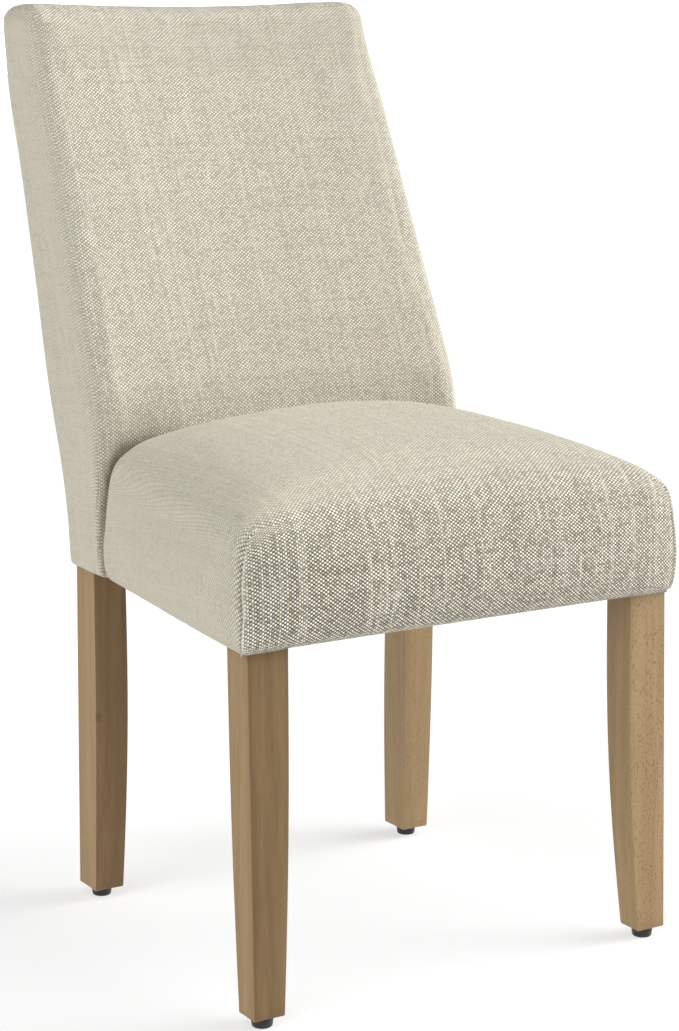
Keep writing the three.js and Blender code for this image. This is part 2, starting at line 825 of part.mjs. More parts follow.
function planBlockScrew(name, faceAt, direction, blockDepth) {
  const seat = blockDepth - screwHeadRadius - screwHeadThickness;
  const head = faceAt.clone().addScaledVector(direction, -(seat + screwHeadThickness));
  screws.push({ name, head, direction, length: screwHeadThickness + seat + gap + blockScrewGrip });
}

function planScrews() {
  for (const side of ["left", "right"]) {
    const sign = sides[side];
    const outward = new THREE.Vector3(sign, 0, 0);
    const [endX, endY] = frontBlock.railEnd;
    const [startX] = frontBlock.railStart;
    const intoFront = (startX + frontBlock.corner[0]) / 2;
    const frontFace = new THREE.Vector3(sign * intoFront, frontBlock.frontY, railMiddleZ);
    planBlockScrew(`block_screw_front_${side}_a`, frontFace, forward, intoFront - startX);
    const intoSide = (endY + frontBlock.corner[1]) / 2;
    const sideFace = new THREE.Vector3(sign * (railInnerAt(intoSide) - gap), intoSide, railMiddleZ);
    planBlockScrew(`block_screw_front_${side}_b`, sideFace, outward, endY - intoSide);
    const rearX = rearBlock.corner[0] - rearBlock.arm / 2;
    const rearFace = new THREE.Vector3(sign * rearX, rearBlock.corner[1], railMiddleZ);
    planBlockScrew(`block_screw_rear_${side}_a`, rearFace, rearward, rearBlock.arm / 2);
    const rearY = rearBlock.corner[1] - rearBlock.arm / 2;
    const rearSide = new THREE.Vector3(sign * (railInnerAt(rearY) - gap), rearY, railMiddleZ);
    planBlockScrew(`block_screw_rear_${side}_b`, rearSide, outward, rearBlock.arm / 2);
  }
}

function screwBores() {
  return screws.flatMap(({ head, direction, length }) => [
    drill(holeRadius(screwHeadRadius, fastenerSides), head.clone().addScaledVector(direction, -driverReach),
      direction, driverReach + screwHeadThickness),
    drill(holeRadius(screwRadius, fastenerSides), head, direction, length + gap),
  ]);
}

const rearBlockY = rearRailFrontY - gap;
const rearBlock = { corner: [railInnerAt(rearBlockY) - gap, rearBlockY], arm: rearBlockArm };

function blockOutlines() {
  const { corner, railEnd, railStart, frontY } = frontBlock;
  const legSide = [railInnerAt(corner[1]) - gap, corner[1]];
  const front = [railStart, [corner[0], frontY], corner, legSide, railEnd];
  const [x, y] = rearBlock.corner;
  const armEndY = y - rearBlock.arm;
  const rear = [[x, y], [x - rearBlock.arm, y], [railInnerAt(armEndY) - gap, armEndY]];
  return { front, rear };
}

// Bolts from the seat's rear rail into the back's joint rail
function seatBoltPlaces() {
  const places = [];
  for (const [side, sign] of Object.entries(sides)) {
    for (const [level, shift] of [["low", -seatBoltPitch / 2], ["high", seatBoltPitch / 2]]) {
      const at = new THREE.Vector3(sign * seatBoltSpread, rearRailFrontY - gap, railMiddleZ + shift);
      places.push({ name: `${side}_${level}`, at });
    }
  }
  return places;
}

const seatBoltShank = washerThickness + gap + jointFrontY - rearRailFrontY + seatBoltGrip;

function seatBoltBores() {
  return seatBoltPlaces().map(({ at }) => boreFor(seatBoltRadius, at, rearward, seatBoltShank));
}

function addSeatFrame() {
  planScrews();
  const bores = screwBores();
  const deckBores = deckScrewBores();
  const bolts = seatBoltBores();
  const rail = (name, outline, cutters) => {
    addPiece(seatUnit, name, cutFrom(plate(outline, railBottomZ, railTopZ), cutters), beechColour, 0.7);
  };
  const frontReach = legInnerX - gap;
  rail("seat_rail_front", [[-frontReach, frameFrontY], [frontReach, frameFrontY],
    [frontReach, frontRailInnerY], [-frontReach, frontRailInnerY]], [...bores, ...deckBores]);
  const sideStartY = legBackY + gap;
  const sideOutline = [[railInnerAt(sideStartY), sideStartY], [railOuterAt(sideStartY), sideStartY],
    [railOuterAt(bevelY), bevelY], [bevelX, frameRearY], [railInnerAt(frameRearY), frameRearY]];
  rail("seat_rail_left", mirrored(sideOutline), bores);
  rail("seat_rail_right", sideOutline, bores);
  const rearWide = railInnerAt(rearRailFrontY) - gap;
  const rearNarrow = railInnerAt(frameRearY) - gap;
  rail("seat_rail_rear", [[-rearWide, rearRailFrontY], [rearWide, rearRailFrontY],
    [rearNarrow, frameRearY], [-rearNarrow, frameRearY]], [...bores, ...deckBores, ...bolts]);
  const outlines = blockOutlines();
  const blockBottomZ = railMiddleZ - blockHeight / 2;
  for (const [side, sign] of Object.entries(sides)) {
    const tail = hangerStart(side, hangerTail);
    const hangerBore = boreFor(hangerRadius, tail, hangerDirection[side], hangerLength);
    for (const [place, outline] of Object.entries(outlines)) {
      const own = sign > 0 ? outline : mirrored(outline);
      const block = cutFrom(plate(own, blockBottomZ, blockBottomZ + blockHeight), [...bores, hangerBore]);
      addPiece(seatUnit, `corner_block_${place}_${side}`, block, beechColour, 0.75);
    }
    addHanger(side);
  }
  for (const { name, head, direction, length } of screws) {
    addFastener(name, screwOf(length), head, direction);
  }
}

function addHanger(side) {
  const direction = hangerDirection[side];
  const taperStart = hangerLength - hangerRadius;
  const rodProfile = [[0, 0], [hangerRadius, 0], [hangerRadius, taperStart], [0, hangerLength]];
  const rod = turned(rodProfile, fastenerSides);
  addFastener(`hanger_bolt_${side}`, rod, hangerStart(side, hangerTail), direction);
  const washerBack = blockFaceReach + gap + washerThickness;
  addFastener(`hanger_washer_${side}`, washerFor(hangerRadius), hangerStart(side, washerBack), direction);
  const nut = ring(holeRadius(hangerRadius, nutSides), nutRadius, nutThickness, nutSides);
  addFastener(`hanger_nut_${side}`, nut, hangerStart(side, washerBack + gap + nutThickness), direction);
}

// Deck screws stand in the front and rear rails
function deckScrewPlaces() {
  const frontY = frameFrontY + railThickness / 2;
  const rearY = frameRearY - railThickness / 2;
  return [
    { name: "front_left", at: new THREE.Vector3(-deckScrewSpread, frontY, deckTopZ - gap) },
    { name: "front_right", at: new THREE.Vector3(deckScrewSpread, frontY, deckTopZ - gap) },
    { name: "rear_left", at: new THREE.Vector3(-deckScrewSpread, rearY, deckTopZ - gap) },
    { name: "rear_right", at: new THREE.Vector3(deckScrewSpread, rearY, deckTopZ - gap) },
  ];
}

function deckScrewBores() {
  return deckScrewPlaces().flatMap(({ at }) => [
    boreFor(screwHeadRadius, at, downward, screwHeadThickness + gap),
    boreFor(screwRadius, at, downward, deckScrewLength + gap),
  ]);
}

function addDeck() {
  const deck = plate(frameOutline(-deckInset), deckBottomZ, deckTopZ);
  addPiece(seatUnit, "seat_deck", cutFrom(deck, deckScrewBores()), plyColour, 0.8);
  for (const { name, at } of deckScrewPlaces()) {
    addFastener(`deck_screw_${name}`, screwOf(deckScrewLength), at, downward);
  }
}

function addDustSheet() {
  const half = legInnerX - gap;
  const startY = legBackY + gap;
  const sideFront = railOuterAt(startY) - dustSheetInset;
  const sideRear = bevelX - dustSheetInset;
  const rightHalf = [
    [half, frameFrontY + dustSheetInset],
    [half, startY],
    [sideFront, startY],
    [sideRear, frameRearY],
  ];
  const outline = [...rightHalf, ...mirrored(rightHalf).reverse()];
  const topZ = railBottomZ - gap;
  addPiece(seatUnit, "dust_sheet", plate(outline, topZ - dustSheetThickness, topZ), dustColour, 0.95);
}

// Seat padding and cover
function addSeatPadding() {
  const full = filled(seatCup(coverInset));
  const reach = overallDepth;
  const above = boxBetween(-reach, reach, -reach, reach, deckTopZ + gap, overallHeight);
  addPiece(seatUnit, "seat_foam", keepInside(full, above), foamColour, 0.95);
  const below = boxBetween(-reach, reach, -reach, reach, deckTopZ, overallHeight);
  const frame = plate(frameOutline(gap), 0, overallHeight);
  const wadding = cutFrom(full, [below, frame, ...seatBoltBores()]);
  addPiece(seatUnit, "seat_edge_wadding", wadding, waddingColour, 1);
}

function addSeatCover() {
  const cover = skin(seatCup(0), seatCup(fabricThickness));
  addPiece(seatUnit, "seat_cover", cutFrom(cover, seatBoltBores()), fabricColour, 0.95);
}

function addSeatBolts() {
  const bolt = fastener(seatBoltRadius, seatBoltHeadRadius, seatBoltHeadThickness,
    seatBoltHeadThickness + seatBoltShank, seatBoltRadius);
  for (const { name, at } of seatBoltPlaces()) {
    const washerAt = at.clone().addScaledVector(forward, washerThickness);
    addFastener(`seat_bolt_washer_${name}`, washerFor(seatBoltRadius), washerAt, rearward);
    const headAt = washerAt.clone().addScaledVector(forward, gap + seatBoltHeadThickness);
    addFastener(`seat_bolt_${name}`, bolt.clone(), headAt, rearward);
  }
}

// Back frame
function railLevels(z0, z1, thickness, atFront) {
  return spineBetween(z0, z1).map(({ z, inner, front, rear }) => ({
    z,
    x0: gap - inner,
    x1: inner - gap,
    y0: atFront ? front : rear - thickness,
    y1: atFront ? front + thickness : rear,
  }));
}

function addBackFrame() {
  const rail = (name, levels, cutters) => {
    addPiece(backUnit, name, cutFrom(loft(levels, 0), cutters), beechColour, 0.7);
  };
  const jointBottomZ = railMiddleZ - jointRailHeight / 2;
  const jointLevels = railLevels(jointBottomZ, jointBottomZ + jointRailHeight, jointRailThickness, true);
  rail("back_rail_joint", jointLevels, seatBoltBores());
  const lumbarZ = railTopZ + lumbarRailLift;
  rail("back_rail_lumbar", railLevels(lumbarZ, lumbarZ + lumbarRailHeight, backRailThickness, false), []);
  rail("back_rail_top", railLevels(postTopZ - topRailHeight, postTopZ, backRailThickness, false), []);
  const panel = spineBetween(panelBottomZ, postTopZ).map(({ z, outer, front }) => ({
    z,
    x0: backPanelSideInset - outer,
    x1: outer - backPanelSideInset,
    y0: front - gap - backPanelThickness,
    y1: front - gap,
  }));
  addPiece(backUnit, "back_panel", loft(panel, 0), plyColour, 0.8);
  const board = spineBetween(backBottomZ + rearBoardLift, postTopZ).map(({ z, outer, rear }) => ({
    z,
    x0: rearBoardSideInset - outer,
    x1: outer - rearBoardSideInset,
    y0: rear + gap,
    y1: rear + gap + rearBoardThickness,
  }));
  addPiece(backUnit, "rear_board", loft(board, 0), hardboardColour, 0.85);
}

// What the foam and wadding leave free for the back frame
function frameFrontLevels(extra) {
  const levels = spine.map(({ z, front }) => {
    const cover = z >= panelBottomZ ? gap + backPanelThickness : 0;
    return { z, front: front - cover - gap - extra };
  });
  const [base] = levels;
  const top = levels[levels.length - 1];
  return [{ z: 0, front: base.front }, ...levels, { z: overallHeight + overrun, front: top.front }];
}

function addBackPadding() {
  const full = filled(backCup(coverInset));
  const reach = overallDepth;
  const frontOf = (extra) => loft(frameFrontLevels(extra).map(({ z, front }) => ({
    z, x0: -reach, x1: reach, y0: -reach, y1: front,
  })), 0);
  const foam = geometryOf(solidOf(full).intersect(solidOf(frontOf(gap))).subtract(boltSpace()));
  addPiece(backUnit, "back_foam", foam, foamColour, 0.95);
  const lift = postTopZ + gap;
  const frame = [spine[0], ...spine].map((level, k) => ({ ...level, z: k === 0 ? 0 : level.z }));
  frame.push({ ...spine[spine.length - 1], z: lift });
  const envelope = loft(frame.map(({ z, outer }) => ({
    z, x0: -outer - gap, x1: outer + gap, y0: -reach, y1: reach,
  })), 0);
  addPiece(backUnit, "back_edge_wadding", cutFrom(full, [frontOf(0), envelope]), waddingColour, 1);
}

function boltSpace() {
  const [first, ...others] = seatBoltBores().map(solidOf);
  return others.reduce((sum, solid) => sum.add(solid), first);
}

// Back covers: the inside back wraps the front, sides, top and underside; the outside back closes the rear
function addBackCovers() {
  const base = spine[0];
  const legHoles = Object.values(sides).map((sign) => {
    const { x0, x1 } = acrossRange(sign, base.inner - gap, base.outer + gap);
    return boxBetween(x0, x1, base.rear - rearLegDepth - gap, base.rear + gap, 0, legShoulderZ);
  });
  const insideBack = skin(backCup(0), backCup(fabricThickness));
  const wrapped = cutFrom(insideBack, [...legHoles, ...seatBoltBores()]);
  addPiece(backUnit, "back_cover_inside", wrapped, fabricColour, 0.95);
  const outsideBack = skin(outsideBackSheet(0), outsideBackSheet(fabricThickness));
  addPiece(backUnit, "back_cover_outside", outsideBack, fabricColour, 0.95);
}

for (const side of ["left", "right"]) {
  addFrontLeg(side);
  addRearLeg(side);
}
addSeatFrame();
addDeck();
addDustSheet();
addSeatPadding();
addSeatCover();
addSeatBolts();
addBackFrame();
addBackPadding();
addBackCovers();

export default chair;
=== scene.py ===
"""Looks for an upholstered dining side chair: linen covers over a padded seat and back, and four wooden legs.

Everything is in metres, in the CAD model's frame: x across, the sitter faces -y, z up from the floor.
"""

import math

import bpy
import numpy as np
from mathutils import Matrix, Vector


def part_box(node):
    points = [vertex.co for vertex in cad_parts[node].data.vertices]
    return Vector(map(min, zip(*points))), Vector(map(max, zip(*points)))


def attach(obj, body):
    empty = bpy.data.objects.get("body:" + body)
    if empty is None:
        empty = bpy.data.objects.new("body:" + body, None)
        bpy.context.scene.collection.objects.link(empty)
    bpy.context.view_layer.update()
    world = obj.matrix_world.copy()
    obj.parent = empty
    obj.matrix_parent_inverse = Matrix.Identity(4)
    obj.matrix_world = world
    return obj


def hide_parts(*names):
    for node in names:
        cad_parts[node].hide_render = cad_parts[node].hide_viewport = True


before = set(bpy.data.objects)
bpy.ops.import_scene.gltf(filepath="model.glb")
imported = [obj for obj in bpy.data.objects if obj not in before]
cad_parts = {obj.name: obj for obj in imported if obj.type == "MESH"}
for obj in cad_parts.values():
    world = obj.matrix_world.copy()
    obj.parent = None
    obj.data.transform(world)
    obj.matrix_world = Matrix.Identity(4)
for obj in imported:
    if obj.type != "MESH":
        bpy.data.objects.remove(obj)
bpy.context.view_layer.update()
MM = 0.001
TINY = 1e-9

# ---- Sizes that the CAD source has too ----
OVERALL_DEPTH = 578 * MM
OVERALL_HEIGHT = 898.5 * MM
CLEAR_HEIGHT = 344.5 * MM
GAP = 0.3 * MM
SEAM_GAP = 0.6 * MM
FABRIC = 1.5 * MM
COVER_RETURN = 26 * MM
GLIDE_HEIGHT = 10.5 * MM
# inner x, outer x, front y and rear y of the right front leg under the seat
LEG_FRONT_BOX = (188.1 * MM, 229.1 * MM, -276 * MM, -239 * MM)

# ---- The seat cover's form ----
SEAT_FRONT_WIDTH = 495 * MM
SEAT_REAR_WIDTH = 423 * MM
SEAT_DEPTH = 340 * MM
SEAT_REAR_SHOULDER = 142 * MM
SEAT_FRONT_SHOULDER = 124 * MM
SEAT_CROWN = 30.5 * MM
SEAT_SIDE_ROLL = 122 * MM
SEAT_FRONT_ROLL = 50 * MM
SEAT_REAR_ROLL = 68 * MM
SEAT_EDGE_DROP = 80 * MM
SEAT_SIDE_BULGE = 8 * MM
SEAT_FRONT_BULGE = 4 * MM
SEAT_FRONT_BOW = 7 * MM
SEAT_FRONT_LIFT = 1.5 * MM
SEAT_HEM_LIFT = 3.5 * MM
SEAT_SIDE_LIFT = 1.2 * MM
SEAT_HEM_REACH = 9 * MM
SEAT_SIDE_TUCK = 2 * MM
SEAT_FRONT_TUCK = 1.5 * MM
SEAT_TUCK_REACH = 6 * MM
SEAT_SHIFT = -1.7 * MM
SEAT_LEFT_CORNER_FLAT = 0.75
SEAT_RIGHT_CORNER_FLAT = 0.4
SEAT_CORNER_UNTUCKED = 0.6
# how square the corners are, seen from above: on the rolled edge, at the wall's top and foot, on the right
SEAT_ROLL_POWER = 5.2
SEAT_SHOULDER_POWER = 9
SEAT_CORNER_POWER = 40
SEAT_RIGHT_POWER = 12
SEAT_CORNER_FADE = 1.5
# powers that set how suddenly the crown, the swell, the front's bow and the corners' share fall off
CROWN_SIDE_POWER, CROWN_END_POWER, CROWN_WALL_POWER = 2, 4, 3
SWELL_POWER, BOW_POWER, NEAR_FRONT_POWER, AT_CORNER_POWER = 0.6, 3, 6, 4
# how far in each line of the seat's hem lies, and which share of the wall's own lift it keeps
SEAT_HEM_FOLDS = [(1.5 * MM, 0.78), (3.5 * MM, 0.55), (6 * MM, 0.25), (9 * MM, 0.02), (16 * MM, 0.0)]
HEM_CLEARANCE = 2 * MM
# how much smaller the cover is before its filling presses it out, how hard that presses, and how far it may
SEAT_START_INSET, SEAT_PRESSURE, SEAT_PUFF = 1.5 * MM, 4.0, 4.5 * MM

# ---- The seams at the seat's front corners ----
SEAM_COLUMNS = (0.9 * MM, 1.9 * MM, 3.2 * MM, 5.5 * MM, 9 * MM)
SEAM_HALF_WIDTH = 0.75 * MM
SEAM_RIDGE = 1.5 * MM
SEAM_VALLEY = 1.0 * MM
SEAM_REACH = 9 * MM
SEAM_FADE = (70 * MM, 112 * MM)
SEAM_END = (2.8 * MM, 7 * MM)
SEAM_SLIDE = 3.2 * MM
SEAM_SLIDE_REACH = 45 * MM
SEAM_SLIDE_FROM = (25 * MM, 62 * MM)
SEAM_SLIDE_TO = (112 * MM, 124 * MM)
# in half widths: where the valley starts and where the line of its painted shade lies, and the valley's share
# on the front
VALLEY_START, VALLEY_SHADE_LINE, VALLEY_ON_FRONT = 1.5, 1.9, 0.5
LEVEL_BELOW = 30 * MM

# ---- The inside back cover's form ----
BACK_WIDTH = 428 * MM
BACK_THICKNESS = 99 * MM
BACK_BASE_THICKNESS = 75 * MM
BACK_FRONT_ROLL = 31 * MM
BACK_FRONT_ROLL_DEPTH = 34 * MM
BACK_BASE_ROLL = 5 * MM
BACK_REAR_ROLL = 12 * MM
BACK_TOP_ROLL = 18 * MM
BACK_BOTTOM_ROLL = 8 * MM
BACK_ROLL_POWER = 2.5
BACK_HOLLOW = 15 * MM
BACK_REAR_BOW = 5 * MM
BACK_TOP_DIP = 5.5 * MM
BACK_FULLER = 2.5 * MM
BACK_WIDER = 1.5 * MM
BACK_TALLER = 1.2 * MM
BACK_TOP_SHIFT = -1.5 * MM
BACK_TOP_SHIFT_START = 0.7
BACK_TOP_TILT = 1.5 * MM
BACK_TILT_POWER = 3
BACK_TOP_POWER = 6
BACK_CORNER_START = 0.9
BACK_REAR_CORNER = 36 * MM
BACK_FRONT_CORNER = 0.85
BACK_LEFT_CORNER = 25 * MM
BACK_LEFT_CORNER_REACH = 0.3
BACK_START_INSET, BACK_PRESSURE, BACK_PUFF = 0.5 * MM, 2.5, 2.5 * MM
# evenly placed up the back, from its bottom to its top
REAR_LEAN_SHARES = [0, 0.005, 0.05, 0.155, 0.285, 0.405, 0.525, 0.65, 0.775, 0.895, 1]
THICKNESS_SHARES = [0, 0.005, 0.4, 0.92, 1, 0.86, 0.7, 0.58, 0.42, 0.24, 0.16]
WIDTH_SHARES = [0.979, 0.991, 1.004, 1.005, 0.991, 0.976, 0.965, 0.953, 0.946, 0.933, 0.919]
ROLL_GROWTH_SHARES = [0, 0.02, 0.35, 0.9, 1, 1, 1, 1, 1, 1, 1]
HOLLOW_START, HOLLOW_FULL = 0.12, 0.37

SEAT_FRONT_Y = -OVERALL_DEPTH / 2
SEAT_REAR_Y = SEAT_FRONT_Y + SEAT_DEPTH
BACK_FRONT_Y = SEAT_REAR_Y + GAP
BACK_BOTTOM_Z = CLEAR_HEIGHT + GAP
BACK_HEIGHT = OVERALL_HEIGHT - BACK_BOTTOM_Z
BACK_BASE_REAR_Y = BACK_FRONT_Y + BACK_BASE_THICKNESS
BACK_LEAN = OVERALL_DEPTH / 2 - BACK_BASE_REAR_Y


# ---- Arithmetic on arrays of points ----
def mix(a, b, share):
    return a + (b - a) * share


def smooth(x, start, end):
    share = np.clip((x - start) / (end - start), 0, 1)
    return share * share * (3 - 2 * share)


def along_back(shares, up):
    """A smooth curve through evenly placed shares, read at a share of the back's height."""
    values = np.asarray(shares, float)
    slopes = np.gradient(values)
    last = len(values) - 1
    place = np.clip(up, 0, 1) * last
    k = np.minimum(place.astype(int), last - 1)
    t = place - k
    t2, t3 = t * t, t * t * t
    start = values[k] * (2 * t3 - 3 * t2 + 1) + slopes[k] * (t3 - 2 * t2 + t)
    return start + values[k + 1] * (3 * t2 - 2 * t3) + slopes[k + 1] * (t3 - t2)


def by_angle(share):
    """Spreads even shares so that they lie at even angles on a roll."""
    return 1 - math.tan(math.pi / 4 * (1 - share))


def roll_stations(start_roll, end_roll, start_cells, middle_cells, end_cells):
    """Shares along a face whose ends roll over: even in the middle, by angle on the rolls."""
    start = [start_roll * by_angle(1 - k / start_cells) for k in range(start_cells, 0, -1)]
    middle = [start_roll + (1 - start_roll - end_roll) * k / middle_cells for k in range(middle_cells + 1)]
    end = [1 - end_roll * by_angle(1 - k / end_cells) for k in range(1, end_cells + 1)]
    return np.array(start + middle + end)


def rolled(point, low, high, roll_low, roll_high, power):
    """Points of a box surface drawn in to rolled edges, from the box's inner core outwards."""
    core, offset, reach = [], [], []
    for axis in range(3):
        inner = np.clip(point[axis], low[axis] + roll_low[axis], high[axis] - roll_high[axis])
        radius = np.where(point[axis] < inner, roll_low[axis], roll_high[axis])
        safe = np.where(radius > 0, radius, 1)
        core.append(inner)
        reach.append(radius)
        offset.append(np.where(radius > 0, (point[axis] - inner) / safe, 0))
    total = sum(np.abs(o) ** power for o in offset)
    size = np.where(total > 0, np.maximum(total, 1e-30) ** (1 / power), 1)
    return [c + o / size * r for c, o, r in zip(core, offset, reach)]


def slid_round_corner(box, low, height, across, back):
    """The left front seam stands upright: higher up, the net slides round the corner onto the side wall."""
    x, y, z = box
    slide = SEAM_SLIDE * smooth(z, *SEAM_SLIDE_FROM) * (1 - smooth(z, *SEAM_SLIDE_TO))
    on_front, on_side = back < TINY, (across < TINY) & (back < 1 - TINY)
    run = np.where(on_front, x - low[0], low[1] - y)
    slid = run - slide * np.exp(-((run / SEAM_SLIDE_REACH) ** 2))
    moves = (on_front | on_side) & (z < height - TINY)
    x = np.where(moves, low[0] + np.maximum(slid, 0), x)
    y = np.where(moves, low[1] - np.minimum(slid, 0), y)
    return [x, y, z]


def seat_point(across, back, drop_share, wall_share, inset):
    """drop_share runs over the rolled edge (0 to 1) and wall_share down the wall (0 to 1)."""
    half = mix(SEAT_FRONT_WIDTH, SEAT_REAR_WIDTH, back) / 2 - SEAT_SIDE_BULGE - inset
    height = mix(SEAT_FRONT_SHOULDER, SEAT_REAR_SHOULDER, back) - inset
    dropped = SEAT_EDGE_DROP * (1 - np.tan(np.pi / 4 * (1 - drop_share)))
    dropped = np.where(wall_share > 0, mix(SEAT_EDGE_DROP, height, wall_share), dropped)
    low = [-half, SEAT_FRONT_Y + SEAT_FRONT_BULGE + inset, 0]
    high = [half, SEAT_REAR_Y - inset, height]
    box = [mix(low[0], high[0], across), mix(low[1], high[1], back), height - dropped]
    box = slid_round_corner(box, low, height, across, back)
    side = SEAT_SIDE_ROLL - inset
    roll_low = [side, SEAT_FRONT_ROLL - inset, 0]
    roll_high = [side, SEAT_REAR_ROLL - inset, SEAT_EDGE_DROP - inset]
    wall = np.minimum(box[2] / (height - SEAT_EDGE_DROP), 1)
    roll = np.maximum((box[2] - height + SEAT_EDGE_DROP) / SEAT_EDGE_DROP, 0)
    wall_power = mix(SEAT_SHOULDER_POWER, SEAT_CORNER_POWER, (1 - wall) ** SEAT_CORNER_FADE)
    wall_power = np.where(across > 0.5, SEAT_RIGHT_POWER, wall_power)
    x, y, z = rolled(box, low, high, roll_low, roll_high, mix(wall_power, SEAT_ROLL_POWER, roll))
    up = np.clip(z / height, 0, 1)
    sideways = np.minimum(np.abs(x) / half, 1)
    rear = (y - low[1]) / (high[1] - low[1])
    endways = np.abs(2 * rear - 1)
    crown = (1 - sideways**CROWN_SIDE_POWER) * (1 - endways**CROWN_END_POWER) * up**CROWN_WALL_POWER
    near_front = (1 - np.clip(rear, 0, 1)) ** NEAR_FRONT_POWER
    at_corner = near_front * sideways**AT_CORNER_POWER
    corner_flat = np.where(x < 0, SEAT_LEFT_CORNER_FLAT, SEAT_RIGHT_CORNER_FLAT)
    swell = np.sin(np.pi * up**SWELL_POWER) * (1 - corner_flat * at_corner)
    bow = SEAT_FRONT_BOW * (1 - sideways**BOW_POWER) * swell
    z = z + SEAT_CROWN * crown
    tuck = np.exp(-z / SEAT_TUCK_REACH) * (1 - SEAT_CORNER_UNTUCKED * at_corner)
    lift = mix(SEAT_SIDE_LIFT, SEAT_HEM_LIFT, near_front) + SEAT_FRONT_LIFT * (1 - sideways**2) * near_front
    x = x + np.sign(x) * sideways * (SEAT_SIDE_BULGE * swell - SEAT_SIDE_TUCK * tuck) + SEAT_SHIFT
    y = y - (1 - rear) * (SEAT_FRONT_BULGE * swell + bow - SEAT_FRONT_TUCK * tuck)
    z = z + lift * np.exp(-z / SEAT_HEM_REACH)
    return np.stack([x, y, z + CLEAR_HEIGHT], -1)


def back_rear_at(up):
    return BACK_BASE_REAR_Y + BACK_LEAN * along_back(REAR_LEAN_SHARES, up)


def back_thickness_at(up):
    return mix(BACK_BASE_THICKNESS, BACK_THICKNESS + BACK_FULLER, along_back(THICKNESS_SHARES, up))


def back_surface(across, up, depth_at, inward, inset):
    """depth_at gives how far behind the front a point lies, and inward how far in from the border."""
    height = BACK_HEIGHT - 2 * inset
    box_up = mix(inward, height - inward, up)
    up_here = box_up / height
    thickness = back_thickness_at(up_here) - 2 * inset
    half = BACK_WIDTH / 2 * along_back(WIDTH_SHARES, up_here) - inset
    growth = along_back(ROLL_GROWTH_SHARES, up_here)
    roll_x = mix(BACK_BASE_ROLL, BACK_FRONT_ROLL, growth) - inset
    roll_y = mix(BACK_BASE_ROLL, BACK_FRONT_ROLL_DEPTH, growth) - inset
    rear_roll = BACK_REAR_ROLL - inset
    depth = depth_at(thickness, roll_y, rear_roll)
    near_top = smooth(up_here, BACK_CORNER_START, 1)
    rear_side_roll = mix(rear_roll, BACK_REAR_CORNER, near_top)
    front_side_roll = roll_x * mix(1, BACK_FRONT_CORNER, near_top)
    side_roll = np.where(depth > thickness / 2, rear_side_roll, front_side_roll)
    low = [-half, 0 * half, 0 * half]
    high = [half, thickness, height + 0 * half]
    box = [mix(inward - half, half - inward, across), depth + 0 * half, box_up]
    from_left = smooth(across, 0, BACK_LEFT_CORNER_REACH)
    roll_low = [side_roll, roll_y, BACK_BOTTOM_ROLL - inset]
    roll_high = [side_roll, rear_roll, mix(BACK_LEFT_CORNER, BACK_TOP_ROLL, from_left) - inset]
    x, y, z = rolled(box, low, high, roll_low, roll_high, BACK_ROLL_POWER)
    up_share = (z + inset) / BACK_HEIGHT
    middle = 1 - np.minimum(np.abs(x) / half, 1) ** 2
    settle = smooth(up_share, HOLLOW_START, HOLLOW_FULL)
    hollow = mix(BACK_HOLLOW, BACK_REAR_BOW, y / thickness) * middle * settle
    x = x * (1 + BACK_WIDER / half * settle * (1 - np.clip(y / thickness, 0, 1)))
    y = y + back_rear_at(up_share) - back_thickness_at(up_share) + inset + hollow
    tilt = BACK_TOP_TILT * np.clip(x / half, -1, 1) ** BACK_TILT_POWER
    raised = (BACK_TALLER - BACK_TOP_DIP * middle + tilt) * up_share**BACK_TOP_POWER
    x = x + BACK_TOP_SHIFT * smooth(up_share, BACK_TOP_SHIFT_START, 1)
    return np.stack([x, y, z + BACK_BOTTOM_Z + inset + raised], -1)


# ---- Meshes ----
def lengths_along(points, axis):
    """How far each point lies along its line, from the line's start."""
    steps = np.linalg.norm(np.diff(points, axis=axis), axis=-1)
    return np.insert(np.cumsum(steps, axis), 0, 0, axis)


